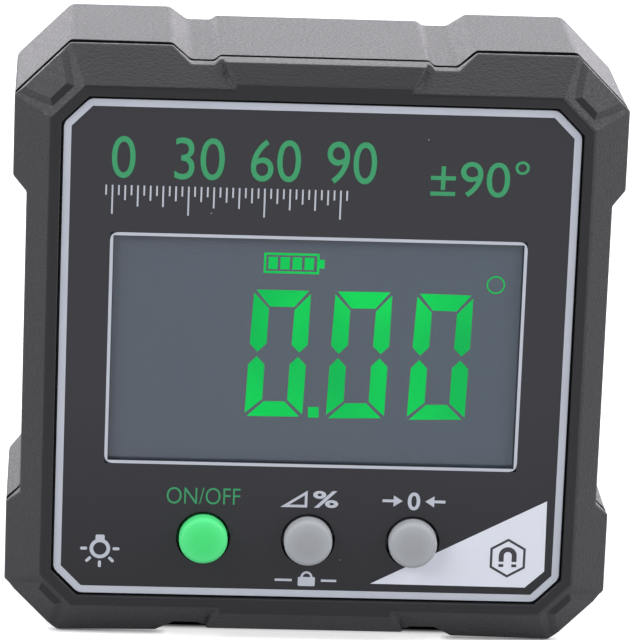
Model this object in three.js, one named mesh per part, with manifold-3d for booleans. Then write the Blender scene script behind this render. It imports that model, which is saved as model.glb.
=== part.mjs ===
// A digital inclinometer: a square box that stands on its magnetic base and shows its own tilt.
// Millimetres, +Z up, the front faces -Y and +X is to the right of someone who reads the display.
// A depth is counted from the flat front band backwards, and a height from the base upwards.
// The case is as wide and as high as its window and the bands round it, and as deep as its stack
// of display, board, cells and door.
import * as THREE from "three";
import { mergeVertices } from "three/addons/utils/BufferGeometryUtils.js";
import { ConvexGeometry } from "three/addons/geometries/ConvexGeometry.js";
import Module from "manifold-3d";

const wasm = await Module();
wasm.setup();

// Face
const windowWidth = 40.1;
const windowHeight = 22.9;
const sideBand = 9.95; // from the window to each side of the case
const upperBand = 18.45; // from the window to the top

// Body
const cornerLeg = 5.3; // each leg of the 45 degree corner chamfers
const fit = 0.3; // free gap between neighbouring pieces
const overrun = 2; // how far a cut runs past the material it leaves
const root = 0.5; // how far a boss or wall is rooted in what carries it
const fineSides = 32; // sides of the rounds that a hand touches
const plainSides = 16; // sides of screws, bosses and holes

// Notches of the outline
const plateauHalf = 10.2; // half width of the raised middle of the top and bottom edges
const plateauDrop = 1.02; // how far that middle lies below the corner blocks
const grooveDrop = 1.52; // depth of the groove between the middle and each corner block
const grooveWidth = 2.3;
const blockInner = 14.8; // where each corner block starts, from the middle
const waistHalf = 15.3; // half height of the drawn-in part of both sides
const waistDrop = 1.35;
const baseRelief = 0.2; // the middle of the base is kept this much off the bench

// Bevels that run round the front and the back alike
const bevelInset = 3.57; // how far they run in from the outline
const bevelDepth = 2.9;

// Front shell
const frontRim = 3.45; // depth of the edge that meets the rear shell
const padRidgeHalf = 8.55; // half width of the raised pad of the bevel at its ridge
const padEdgeHalf = 9.62; // the same at the outline's raised middle
const padRidgeInset = 3;
const padLipDepth = 0.85;
const cornerPadLength = 2.95; // how far the raised pad of each corner bevel reaches in from the outline
const cornerPadFar = 3.25; // half width of its foot at the outline
const cornerPadNear = 1.45; // and at the band
const cornerPadTop = 1.1; // half width of its top at the band
const cornerPadSide = 0.8; // run of its sloping sides at the outline
const cornerPadEnd = 0.7; // run of its slope towards the band
const cornerPadRise = 0.5; // its height at the band
const cornerPadLip = 0.4; // and at the outline
const cornerPadRoot = 0.5; // share of their own run by which its slopes carry on into the bevel
const frontFloorBack = 2.6; // back of the floor that carries the overlay
const cavityInset = 4.6;

// Overlay, window and display
const overlayInset = 4.86;
const overlayGap = 0.26;
const overlayFront = 0.4;
const overlayThick = 0.5;
const paneMargin = 0.95; // the display's front pane is this much larger than the window all round
const ledgeMargin = 1.6; // and its rear pane this much larger than the front pane
const rearPaneThick = 1;
const backlightThick = 2;
const backlightMarginX = 0.9; // the backlight leaves room for its lamp beside it
const backlightMarginZ = 1.45;
const zebraWidth = 0.8;
const frameWallX = 1.1;
const frameWallZ = 0.75;
const ledWidth = 1.2;
const ledHeight = 8;

// Keys
const keyHeight = 10.8; // of the keys' centres, above the base
const keyRoom = 0.95; // from the keys' mat to the display's frame above it
const keyRadius = 2.4;
const keyHoleGap = 0.3;
const keyEdge = 0.85; // radius of the key's rounded edge
const keyCrown = 0.12;
const keyProud = 1; // how far a key stands out of the flat front band
const keyTravel = 0.6;
const keyFlange = 0.5;
const keyFlangeThick = 0.7;
const keyStemRadius = 1.2;
const matThick = 0.8;
const matMargin = 0.8;
const plungerRadius = 1;
const plungerLength = 1.8;
const switchSide = 4.6;
const switchThick = 2;

// Circuit board
const boardFront = 7.6;
const boardThick = 1.2;
const boardGap = 0.6; // from the board's edge to the wall of the case
const bossClear = 0.9; // from the board's cut corners to the screw bosses
const boardToBay = 1.5; // room behind the board for what stands on it
const postSide = 13.6; // from each side of the case to the posts that carry the board
const postEnd = 10; // the same from the top and from the base
const postRadius = 1.8;
const postRoom = 0.5; // from the lower posts to the keys' mat between them
const boardScrewRadius = 0.8;
const boardScrewHead = 1.5;
const boardHeadThick = 1.1;
const boardScrewLength = 4.6;
const sensorSide = 5;
const sensorThick = 1.4;
const sensorX = 8;
const chipSide = 8;
const chipThick = 1.2;
const chipRoom = 2.9; // from the head of a board screw to the chip beside it
const chipEnd = 13.5; // from the top to the chips and from the base to the crystal
const crystalLength = 6;
const crystalWidth = 2;
const crystalThick = 1.3;

// Rear shell and its screws
const shellGap = 0.65; // the dark line all round, between the two shells
const backWall = 4.7;
const bossInset = 8.4; // from the edges of the case to the axes of its screws
const bossRadius = 2.5;
const bossMeet = 9.7; // depth where the front shell's bosses meet the rear shell's columns
const columnRadius = 2.7;
const pilotFloor = 1.4; // material left in front of a pilot hole
const shellScrewRadius = 1;
const shellScrewHead = 1.9;
const shellHeadThick = 1.4;
const shellHeadSunk = 1.2;
const screwEdge = 0.3;
const screwPoint = 0.8;
const gasketInset = 2.7;
const gasketWidth = 0.8;
const gasketGroove = 0.8;

// Magnets in the base
const magnetRadius = 4;
const magnetThick = 2.5;
const magnetSunk = 0.15;
const magnetPitch = 13;
const magnetCount = 4;
const magnetEdge = 0.25;

// Battery bay, with two AAA cells
const cellRadius = 5.25;
const cellLength = 44.5;
const cellNubRadius = 1.9;
const cellNubLength = 0.8;
const cellEdge = 0.5;
const cellGap = 0.3; // free gap round each cell
const springLength = 2.9;
const springWire = 0.5;
const springTurns = 3;
const springTurnSteps = 8; // straight steps of the wire in each turn
const springSides = 5;
const springGapSteps = 32; // places in each turn where its free gap is measured
const springBaseRadius = 3.6;
const springTipRadius = 2.2;
const contactThick = 0.4;
const contactSide = 8;
const tabWidth = 2;
const bayWall = 1.2;

// Battery door
const doorThick = 2;
const doorLedgeX = 1.5; // ledge that carries the seal, beside the bay
const doorLedgeZ = 6.2; // the same above and below it, where the screws are
const doorLeg = 2.5;
const sealThick = 0.6;
const sealWidth = 0.8;
const doorScrewRadius = 0.9;
const doorScrewHead = 1.7;
const doorHeadThick = 0.9;
const doorHeadSunk = 0.1;
const doorScrewLength = 6.4;
const doorBossRadius = 2.3;

// Places that follow from the sizes
const quarterTurn = Math.PI / 2;
const mitreShare = 2 - Math.SQRT2; // what a 45 degree chamfer's leg loses for each unit of inset
const boardBack = boardFront + boardThick;
const cellRoom = (cellRadius + cellGap) * 2;
const matHalfZ = keyRadius + keyFlange + matMargin / 2;
const frameHalfZ = windowHeight / 2 + paneMargin + ledgeMargin + fit + frameWallZ;
const windowZ = keyHeight + matHalfZ + keyRoom + frameHalfZ;
const bodyWidth = windowWidth + sideBand * 2;
const bodyHeight = windowZ + windowHeight / 2 + upperBand;
const bodyDepth = boardBack + boardToBay + bayWall + cellRoom + doorThick;
const middle = bodyHeight / 2;
const frontFace = (keyProud - bodyDepth) / 2; // Y of the flat front band, with the whole centred on Y
const rearRim = frontRim + shellGap;
const recessDepth = overlayFront + overlayThick + fit;
const keyHole = keyRadius + keyHoleGap;
const paneFront = recessDepth;
const paneStep = frontFloorBack + fit;
const paneBack = paneStep + rearPaneThick;
const lightFront = paneBack + fit;
const flangeFront = frontFloorBack + fit;
const flangeBack = flangeFront + keyFlangeThick;
const matFront = flangeBack + keyTravel + fit;
const switchFront = boardFront - switchThick;
const plungerFront = switchFront - keyTravel - fit / 2;
const stemBack = plungerFront - fit;
const cavityBack = bodyDepth - backWall;
const doorFront = bodyDepth - doorThick;
const ledgeDepth = doorFront - sealThick - fit - fit;
const bayFloor = doorFront - cellRoom;
const cellDepth = doorFront - cellRoom / 2;
const bossX = bodyWidth / 2 - bossInset;
const bossZ = middle - bossInset;
const postX = bodyWidth / 2 - postSide;
const postZ = middle - postEnd;
const chipX = chipSide / 2 + chipRoom + boardScrewHead - postX;
const matHalfX = postX - postRadius - postRoom;
const keyPitch = matHalfX - matMargin - keyFlange - keyRadius;
const bayHalfX = (cellLength + springLength) / 2 + contactThick + fit + fit;
const cellRise = cellRadius + cellGap / 2;
const bayHalfZ = cellRise + cellRadius + cellGap;
const contactX = bayHalfX - fit - contactThick;
const doorHalfX = bayHalfX + doorLedgeX - fit;
const doorHalfZ = bayHalfZ + doorLedgeZ - fit;
const doorScrewZ = bayHalfZ + (doorLedgeZ + sealWidth) / 2;
const doorScrewPlaces = [middle + doorScrewZ, middle - doorScrewZ];
const keys = [
  ["power", -keyPitch],
  ["hold", 0],
  ["zero", keyPitch],
];
const corners = [
  [-1, 1],
  [1, 1],
  [-1, -1],
  [1, -1],
];

// Shapes in the front view, and the solids made from them

function circle(x, z, radius) {
  const shape = new THREE.Shape();
  shape.absarc(x, z, radius, 0, Math.PI * 2, false);
  return shape;
}

function polygon(points) {
  return new THREE.Shape(points.map(([x, z]) => new THREE.Vector2(x, z)));
}

function rectangle(x, z, halfX, halfZ) {
  return polygon([
    [x - halfX, z - halfZ],
    [x + halfX, z - halfZ],
    [x + halfX, z + halfZ],
    [x - halfX, z + halfZ],
  ]);
}

// A rectangle with cut corners, round the body's axis
function cutRectangle(halfX, halfZ, leg) {
  const points = [
    [halfX - leg, -halfZ],
    [halfX, leg - halfZ],
    [halfX, halfZ - leg],
    [halfX - leg, halfZ],
    [leg - halfX, halfZ],
    [-halfX, halfZ - leg],
    [-halfX, leg - halfZ],
    [leg - halfX, -halfZ],
  ];
  return points.map(([x, z]) => [x, middle + z]);
}

// The eight-sided figure that lies a given inset within the body's square
function octagon(inset) {
  return cutRectangle(bodyWidth / 2 - inset, middle - inset, cornerLeg - inset * mitreShare);
}

// The right half of a top or bottom edge, from the middle outwards, as places and drops
const groovedEdge = [
  [plateauHalf, plateauDrop],
  [plateauHalf + grooveDrop - plateauDrop, grooveDrop],
  [plateauHalf + grooveDrop - plateauDrop + grooveWidth, grooveDrop],
  [blockInner, 0],
  [bodyWidth / 2 - cornerLeg, 0],
];
const flatEdge = [
  [blockInner - baseRelief, baseRelief],
  [blockInner, 0],
  [bodyWidth / 2 - cornerLeg, 0],
];

function outline(bottomEdge) {
  const lowerSide = [
    [bodyWidth / 2, cornerLeg],
    [bodyWidth / 2, middle - waistHalf - waistDrop],
    [bodyWidth / 2 - waistDrop, middle - waistHalf],
  ];
  const upperSide = lowerSide.map(([x, z]) => [x, bodyHeight - z]).reverse();
  const topEdge = groovedEdge.map(([x, drop]) => [x, bodyHeight - drop]).reverse();
  const right = [...bottomEdge, ...lowerSide, ...upperSide, ...topEdge];
  const left = right.map(([x, z]) => [-x, z]).reverse();
  return polygon([...right, ...left]);
}

// A shape carried from one depth to another; a full circle in it gets the given number of sides
function prism(shape, front, back, sides = plainSides) {
  const settings = { depth: back - front, bevelEnabled: false, curveSegments: sides / 2 };
  const geometry = new THREE.ExtrudeGeometry(shape, settings);
  geometry.rotateX(quarterTurn);
  geometry.translate(0, frontFace + back, 0);
  return geometry;
}

// A profile of radii and depths, turned round an axis that runs back from the front
function turned(profile, sides = plainSides) {
  const points = profile.map(([radius, depth]) => new THREE.Vector2(radius, frontFace + depth));
  return new THREE.LatheGeometry(points, sides);
}

// The convex solid round points that are given as x, height and depth
function hull(points) {
  return new ConvexGeometry(points.map(([x, z, depth]) => new THREE.Vector3(x, frontFace + depth, z)));
}

// Rings of points at given depths, as one convex solid
function frustum(nearRing, near, farRing, far) {
  return hull([...nearRing.map(([x, z]) => [x, z, near]), ...farRing.map(([x, z]) => [x, z, far])]);
}

function solid(geometry) {
  const bare = geometry.clone();
  bare.deleteAttribute("normal");
  bare.deleteAttribute("uv");
  const merged = mergeVertices(bare);
  const vertProperties = new Float32Array(merged.attributes.position.array);
  const triVerts = new Uint32Array(merged.index.array);
  return new wasm.Manifold(new wasm.Mesh({ numProp: 3, vertProperties, triVerts }));
}

function joined(base, additions) {
  return additions.reduce((whole, geometry) => whole.add(solid(geometry)), base);
}

function cut(base, cutters) {
  return cutters.reduce((whole, geometry) => whole.subtract(solid(geometry)), base);
}

function geometryOf(body) {
  const mesh = body.getMesh();
  const geometry = new THREE.BufferGeometry();
  geometry.setAttribute("position", new THREE.BufferAttribute(mesh.vertProperties, mesh.numProp));
  geometry.setIndex(new THREE.BufferAttribute(mesh.triVerts, 1));
  geometry.computeVertexNormals();
  return geometry;
}

// A shape carried from one depth to another, with holes right through it
function plate(shape, holes, front, back, sides = plainSides) {
  const cutters = holes.map((hole) => prism(hole, front - overrun, back + overrun, sides));
  return geometryOf(cut(solid(prism(shape, front, back, sides)), cutters));
}

// Materials

function finish(color, roughness, metalness = 0) {
  return new THREE.MeshStandardMaterial({ color, roughness, metalness });
}

const blackPlastic = () => finish(0x2e2e31, 0.62);
const blackRubber = () => finish(0x161617, 0.9);
const greyRubber = () => finish(0xa5a8a8, 0.55);
const greenRubber = () => finish(0x4bdc7d, 0.5);
const steel = () => finish(0x9a9ca0, 0.35, 1);
const springSteel = () => finish(0xb8babd, 0.3, 1);
const nickel = () => finish(0xb4b6ba, 0.3, 1);
const whitePlastic = () => finish(0xe4e6e6, 0.5);

// The assembly

const inclinometer = new THREE.Group();

function place(group, name, geometry, material, x = 0, y = 0, z = 0) {
  const mesh = new THREE.Mesh(geometry, material);
  mesh.name = name;
  mesh.position.set(x, y, z);
  group.add(mesh);
}

function subgroup() {
  const group = new THREE.Group();
  inclinometer.add(group);
  return group;
}

// Front shell: a bevelled frame with a sunk floor for the overlay

// The raised pad in the middle of the top or the bottom bevel, carried on past the outline
function bevelPad(side) {
  const run = padRidgeInset / (padRidgeInset - plateauDrop); // stretch from the plateau to the outline
  const edgeHalf = padRidgeHalf + (padEdgeHalf - padRidgeHalf) * run;
  const edgeDepth = padLipDepth * run;
  const points = [];
  for (const x of [-1, 1]) {
    points.push([x * padRidgeHalf, bevelInset + overrun, 0], [x * padRidgeHalf, padRidgeInset, 0]);
    points.push([x * edgeHalf, 0, edgeDepth], [x * edgeHalf, 0, frontRim + overrun]);
    points.push([x * padRidgeHalf, bevelInset + overrun, frontRim + overrun]);
  }
  return hull(points.map(([x, inset, depth]) => [x, middle + side * (middle - inset), depth]));
}

// The raised pad in the bevel of one corner, highest towards the band
function cornerPad([sideX, sideZ]) {
  const slant = Math.SQRT1_2; // what a length on the diagonal is along each axis
  const at = (inset, along, rise) => {
    const back = cornerLeg * slant + inset;
    const x = sideX * (bodyWidth / 2 - back * slant - along * slant);
    const z = middle + sideZ * (middle - back * slant + along * slant);
    return [x, z, bevelDepth * (1 - inset / bevelInset) - rise];
  };
  const ends = [
    { top: [0, cornerPadFar - cornerPadSide, cornerPadLip], foot: [0, cornerPadFar, 0] },
    { top: [cornerPadLength - cornerPadEnd, cornerPadTop, cornerPadRise], foot: [cornerPadLength, cornerPadNear, 0] },
  ];
  const points = [];
  for (const { top, foot } of ends) {
    const sunk = foot.map((value, i) => value + (value - top[i]) * cornerPadRoot);
    for (const [inset, along, rise] of [top, sunk]) {
      points.push(at(inset, -along, rise), at(inset, along, rise));
    }
  }
  return hull(points);
}

function frontShell() {
  const farInset = bevelInset * (1 - (frontRim + overrun) / bevelDepth);
  const bevelled = joined(solid(frustum(octagon(bevelInset), 0, octagon(farInset), frontRim + overrun)), [
    bevelPad(1),
    bevelPad(-1),
    ...corners.map(cornerPad),
  ]);
  const frame = solid(prism(outline(groovedEdge), -overrun, frontRim)).intersect(bevelled);
  const grooveOuter = polygon(octagon(gasketInset - fit));
  const grooveInner = polygon(octagon(gasketInset + gasketWidth + fit));
  const hollowed = cut(frame, [
    prism(polygon(octagon(overlayInset - overlayGap)), -overrun, recessDepth),
    prism(polygon(octagon(cavityInset)), frontFloorBack, frontRim + overrun),
    plate(grooveOuter, [grooveInner], frontRim - gasketGroove, frontRim + overrun),
  ]);
  const paneHalfX = windowWidth / 2 + paneMargin + fit;
  const paneHalfZ = windowHeight / 2 + paneMargin + fit;
  const pierced = cut(hollowed, [
    prism(rectangle(0, windowZ, paneHalfX, paneHalfZ), -overrun, frontRim + overrun),
    ...keys.map(([, x]) => prism(circle(x, keyHeight, keyHole), -overrun, frontRim + overrun)),
  ]);
  const bosses = corners.flatMap(([x, z]) => [
    prism(circle(x * bossX, middle + z * bossZ, bossRadius), frontFloorBack - root, bossMeet),
    prism(circle(x * postX, middle + z * postZ, postRadius), frontFloorBack - root, boardFront - fit),
  ]);
  const shellPilot = shellScrewRadius + fit;
  const boardPilot = boardScrewRadius + fit;
  const pilotStart = recessDepth + pilotFloor;
  const pilots = corners.flatMap(([x, z]) => [
    prism(circle(x * bossX, middle + z * bossZ, shellPilot), pilotStart, bossMeet + overrun),
    prism(circle(x * postX, middle + z * postZ, boardPilot), pilotStart, boardFront + overrun),
  ]);
  return geometryOf(cut(joined(pierced, bosses), pilots));
}

// Rear shell: the deep half of the case, with the battery bay, the base and the magnets' pockets

function magnetPlaces() {
  const places = [];
  for (let i = 0; i < magnetCount; i += 1) {
    places.push(magnetPitch * (i - (magnetCount - 1) / 2));
  }
  return places;
}

// The underside is at the bench at the corner blocks and a little higher between them
function baseHeight(x) {
  return Math.abs(x) + magnetRadius > blockInner ? 0 : baseRelief;
}

const magnetY = frontFace + (rearRim + bodyDepth - bevelDepth) / 2;

function upright(radius, low, high, x, sides) {
  const geometry = new THREE.CylinderGeometry(radius, radius, high - low, sides);
  geometry.rotateX(quarterTurn);
  geometry.translate(x, magnetY, (low + high) / 2);
  return geometry;
}

// Where the battery contacts' tabs pass through the bay's floor and the board
function tabSlots(slack) {
  const tabX = contactX + contactThick / 2;
  const halfX = contactThick / 2 + slack;
  const halfZ = tabWidth / 2 + slack;
  return corners.map(([x, z]) => rectangle(x * tabX, middle + z * cellRise, halfX, halfZ));
}

function rearShell() {
  const rimInset = bevelInset * (1 - (bodyDepth - rearRim + overrun) / bevelDepth);
  const bevelled = solid(frustum(octagon(rimInset), rearRim - overrun, octagon(bevelInset), bodyDepth));
  const block = solid(prism(outline(flatEdge), rearRim, bodyDepth + overrun)).intersect(bevelled);
  const hollow = cut(block, [prism(polygon(octagon(cavityInset)), rearRim - overrun, cavityBack)]);
  const bayOuterX = bodyWidth / 2 - cavityInset + root;
  const rootDepth = cavityBack + root;
  const doorBossFront = doorFront - doorScrewLength - fit;
  const doorPilotFront = doorBossFront + pilotFloor;
  const inside = joined(hollow, [
    prism(rectangle(0, middle, bayOuterX, bayHalfZ + bayWall), bayFloor - bayWall, rootDepth),
    ...corners.map(([x, z]) => {
      const column = circle(x * bossX, middle + z * bossZ, columnRadius);
      return prism(column, bossMeet + fit, rootDepth);
    }),
    ...doorScrewPlaces.map((z) => prism(circle(0, z, doorBossRadius), doorBossFront, rootDepth)),
  ]);
  const doorRecess = cutRectangle(doorHalfX + fit, doorHalfZ + fit, doorLeg);
  const headSeat = bodyDepth - shellHeadSunk - shellHeadThick - fit;
  const cutters = [
    prism(rectangle(0, middle, bayHalfX, bayHalfZ), bayFloor, bodyDepth + overrun),
    prism(polygon(doorRecess), ledgeDepth, bodyDepth + overrun),
    ...tabSlots(fit).map((slot) => prism(slot, bayFloor - bayWall - overrun, bayFloor + overrun)),
    ...doorScrewPlaces.map((z) => prism(circle(0, z, doorScrewRadius + fit), doorPilotFront, bodyDepth)),
    ...corners.flatMap(([x, z]) => [
      prism(circle(x * bossX, middle + z * bossZ, shellScrewRadius + fit), bossMeet, bodyDepth),
      prism(circle(x * bossX, middle + z * bossZ, shellScrewHead + fit), headSeat, bodyDepth + overrun),
    ]),
    ...magnetPlaces().map((x) => {
      const top = baseHeight(x) + magnetSunk + magnetThick + fit;
      return upright(magnetRadius + fit, -overrun, top, x, fineSides);
    }),
  ];
  return geometryOf(cut(inside, cutters));
}

// A screw that comes in from behind: a pan head of a given seat depth over a pointed shank
function screw(seat, shankRadius, length, headRadius, headThick) {
  return turned([
    [0, seat - length],
    [shankRadius, seat - length + screwPoint],
    [shankRadius, seat],
    [headRadius, seat],
    [headRadius, seat + headThick - screwEdge],
    [headRadius - screwEdge, seat + headThick],
    [0, seat + headThick],
  ]);
}

function cornerName(x, z) {
  return `${z > 0 ? "upper" : "lower"}_${x < 0 ? "left" : "right"}`;
}

function gasket() {
  const outer = polygon(octagon(gasketInset));
  const inner = polygon(octagon(gasketInset + gasketWidth));
  return plate(outer, [inner], frontRim - gasketGroove + fit, rearRim - fit);
}

function baseMagnet() {
  const rim = magnetRadius - magnetEdge;
  const profile = [
    [0, 0],
    [rim, 0],
    [magnetRadius, magnetEdge],
    [magnetRadius, magnetThick - magnetEdge],
    [rim, magnetThick],
    [0, magnetThick],
  ];
  const geometry = new THREE.LatheGeometry(profile.map(([r, z]) => new THREE.Vector2(r, z)), fineSides);
  geometry.rotateX(quarterTurn);
  return geometry;
}

function makeCase() {
  const group = subgroup();
  place(group, "front_shell", frontShell(), blackPlastic());
  place(group, "rear_shell", rearShell(), blackPlastic());
  place(group, "shell_gasket", gasket(), blackRubber());
  const seat = bodyDepth - shellHeadSunk - shellHeadThick;
  const length = seat - recessDepth - pilotFloor - fit;
  const shellScrew = screw(seat, shellScrewRadius, length, shellScrewHead, shellHeadThick);
  for (const [x, z] of corners) {
    const name = `shell_screw_${cornerName(x, z)}`;
    place(group, name, shellScrew, steel(), x * bossX, 0, middle + z * bossZ);
  }
  magnetPlaces().forEach((x, i) => {
    const low = baseHeight(x) + magnetSunk;
    place(group, `base_magnet_${i + 1}`, baseMagnet(), nickel(), x, magnetY, low);
  });
}

// Display: the printed overlay, its window, the glass, the backlight and what holds them

function makeDisplay() {
  const group = subgroup();
  const halfX = windowWidth / 2;
  const halfZ = windowHeight / 2;
  const cutOut = rectangle(0, windowZ, halfX + fit, halfZ + fit);
  const keyHoles = keys.map(([, x]) => circle(x, keyHeight, keyHole));
  const overlayBack = overlayFront + overlayThick;
  const edge = polygon(octagon(overlayInset));
  const overlay = plate(edge, [cutOut, ...keyHoles], overlayFront, overlayBack, fineSides);
  place(group, "front_overlay", overlay, finish(0x424147, 0.42));
  const pane = prism(rectangle(0, windowZ, halfX, halfZ), overlayFront, overlayBack);
  place(group, "display_window", pane, finish(0x5a616c, 0.12));

  const glassX = halfX + paneMargin;
  const glassZ = halfZ + paneMargin;
  const ledgeX = glassX + ledgeMargin;
  const ledgeZ = glassZ + ledgeMargin;
  const frontPane = prism(rectangle(0, windowZ, glassX, glassZ), paneFront, paneBack);
  const rearPane = prism(rectangle(0, windowZ, ledgeX, ledgeZ), paneStep, paneBack);
  const glass = joined(solid(frontPane), [rearPane]);
  place(group, "lcd_glass", geometryOf(glass), finish(0x59606b, 0.15));

  const lightX = halfX + backlightMarginX;
  const lightZ = halfZ + backlightMarginZ;
  const light = prism(rectangle(0, windowZ, lightX, lightZ), lightFront, lightFront + backlightThick);
  place(group, "backlight_panel", light, whitePlastic());
  const ledX = lightX + fit + ledWidth / 2;
  const led = prism(rectangle(ledX, windowZ, ledWidth / 2, ledHeight / 2), lightFront, boardFront);
  place(group, "backlight_led", led, finish(0xf2f0dc, 0.4));

  const strips = [
    ["upper", 1],
    ["lower", -1],
  ];
  for (const [name, side] of strips) {
    const z = windowZ + side * (lightZ + fit + zebraWidth / 2);
    const strip = prism(rectangle(0, z, lightX, zebraWidth / 2), lightFront, boardFront);
    place(group, `zebra_strip_${name}`, strip, finish(0x8e8f94, 0.7));
  }

  const innerX = ledgeX + fit;
  const innerZ = ledgeZ + fit;
  const rim = rectangle(0, windowZ, innerX + frameWallX, innerZ + frameWallZ);
  const frame = plate(rim, [rectangle(0, windowZ, innerX, innerZ)], frontFloorBack + fit, boardFront);
  place(group, "lcd_frame", frame, whitePlastic());
}

// Keys: a rubber cap, the mat behind it, and a switch with its plunger on the board

function keyCap() {
  const profile = [[0, -keyProud]];
  const flat = keyRadius - keyEdge;
  const steps = plainSides / 4;
  for (let i = 0; i <= steps; i += 1) {
    const turn = (quarterTurn * i) / steps;
    const depth = keyCrown - keyProud + keyEdge * (1 - Math.cos(turn));
    profile.push([flat + keyEdge * Math.sin(turn), depth]);
  }
  profile.push([keyRadius, flangeFront], [keyRadius + keyFlange, flangeFront]);
  profile.push([keyRadius + keyFlange, flangeBack], [keyStemRadius, flangeBack]);
  profile.push([keyStemRadius, stemBack], [0, stemBack]);
  return turned(profile, fineSides);
}

function makeKeys() {
  const group = subgroup();
  const stemHoles = keys.map(([, x]) => circle(x, keyHeight, keyStemRadius + fit));
  const mat = plate(rectangle(0, keyHeight, matHalfX, matHalfZ), stemHoles, matFront, matFront + matThick);
  place(group, "key_mat", mat, blackRubber());

  const switchHalf = switchSide / 2;
  const bore = circle(0, 0, plungerRadius + fit);
  const housing = plate(rectangle(0, 0, switchHalf, switchHalf), [bore], switchFront, boardFront);
  const plunger = prism(circle(0, 0, plungerRadius), plungerFront, plungerFront + plungerLength);
  const cap = keyCap();
  for (const [name, x] of keys) {
    const rubber = name === "power" ? greenRubber() : greyRubber();
    place(group, `${name}_button`, cap, rubber, x, 0, keyHeight);
    place(group, `${name}_plunger`, plunger, finish(0x1d1d1f, 0.5), x, 0, keyHeight);
    place(group, `${name}_switch`, housing, finish(0x333336, 0.45), x, 0, keyHeight);
  }
}

// Circuit board with the tilt sensor, the controller, the clock crystal and its screws

function makeBoard() {
  const group = subgroup();
  const halfX = bodyWidth / 2 - cavityInset - boardGap;
  const halfZ = middle - cavityInset - boardGap;
  const cornerToBoss = bossInset - cavityInset - boardGap;
  const boardLeg = cornerToBoss * 2 + (bossRadius + bossClear) * Math.SQRT2;
  const screwHoles = corners.map(([x, z]) =>
    circle(x * postX, middle + z * postZ, boardScrewRadius + fit),
  );
  const edge = polygon(cutRectangle(halfX, halfZ, boardLeg));
  const board = plate(edge, [...screwHoles, ...tabSlots(fit)], boardFront, boardBack);
  place(group, "circuit_board", board, finish(0x1f5a3c, 0.5));

  const chipZ = bodyHeight - chipEnd;
  const onBoard = (shape, thick) => prism(shape, boardBack, boardBack + thick);
  const sensor = rectangle(sensorX, chipZ, sensorSide / 2, sensorSide / 2);
  place(group, "tilt_sensor", onBoard(sensor, sensorThick), finish(0x8f9092, 0.4, 0.6));
  const chip = rectangle(chipX, chipZ, chipSide / 2, chipSide / 2);
  place(group, "controller_chip", onBoard(chip, chipThick), finish(0x1b1b1d, 0.5));
  const crystal = rectangle(0, chipEnd, crystalLength / 2, crystalWidth / 2);
  place(group, "clock_crystal", onBoard(crystal, crystalThick), finish(0xb9bbbd, 0.3, 1));

  const seat = boardBack + fit;
  const screwShape = screw(seat, boardScrewRadius, boardScrewLength, boardScrewHead, boardHeadThick);
  for (const [x, z] of corners) {
    const name = `board_screw_${cornerName(x, z)}`;
    place(group, name, screwShape, steel(), x * postX, 0, middle + z * postZ);
  }
}

// Battery bay: two cells that lie opposite ways round, their springs and their contacts

function cellShape() {
  const shoulder = cellLength - cellNubLength;
  const profile = [
    [0, 0],
    [cellRadius - cellEdge, 0],
    [cellRadius, cellEdge],
    [cellRadius, shoulder - cellEdge],
    [cellRadius - cellEdge, shoulder],
    [cellNubRadius, shoulder],
    [cellNubRadius, cellLength],
    [0, cellLength],
  ];
  const points = profile.map(([radius, along]) => new THREE.Vector2(radius, along - cellLength / 2));
  const geometry = new THREE.LatheGeometry(points, fineSides);
  geometry.rotateZ(-quarterTurn);
  return geometry;
}

// A conical coil along +X, wide at the contact and narrow at the cell
class ConicalCoil extends THREE.Curve {
  getPoint(share, target = new THREE.Vector3()) {
    const angle = share * springTurns * Math.PI * 2;
    const radius = springBaseRadius + (springTipRadius - springBaseRadius) * share;
    const along = springWire / 2 + share * (springLength - springWire);
    return target.set(along, radius * Math.cos(angle), radius * Math.sin(angle));
  }
}

function springShape() {
  const section = [];
  for (let i = 0; i < springSides; i += 1) {
    const turn = (Math.PI * 2 * i) / springSides;
    section.push([(springWire / 2) * Math.cos(turn), (springWire / 2) * Math.sin(turn)]);
  }
  const settings = { steps: springTurns * springTurnSteps, extrudePath: new ConicalCoil() };
  return new THREE.ExtrudeGeometry(polygon(section), settings);
}

// The least gap between the wire and its own next turn
function springGap() {
  const curve = new ConicalCoil();
  const samples = springTurns * springGapSteps;
  const halfTurn = springGapSteps / 2;
  let least = Infinity;
  for (let i = 0; i + halfTurn <= samples; i += 1) {
    const here = curve.getPoint(i / samples);
    for (let j = i + halfTurn; j <= samples; j += 1) {
      least = Math.min(least, here.distanceTo(curve.getPoint(j / samples)));
    }
  }
  return least - springWire;
}

console.log(`battery spring, least gap between turns: ${springGap().toFixed(2)} mm`);

// A contact plate with a tab that runs forward through the bay's floor into the board
function contactShape() {
  const top = contactSide / 2;
  const front = cellDepth - top;
  const tabFront = boardFront + fit;
  const shape = polygon([
    [-tabWidth / 2, tabFront],
    [tabWidth / 2, tabFront],
    [tabWidth / 2, front],
    [top, front],
    [top, cellDepth + top],
    [-top, cellDepth + top],
    [-top, front],
    [-tabWidth / 2, front],
  ]);
  const geometry = new THREE.ExtrudeGeometry(shape, { depth: contactThick, bevelEnabled: false });
  geometry.rotateY(quarterTurn);
  return geometry;
}

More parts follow.
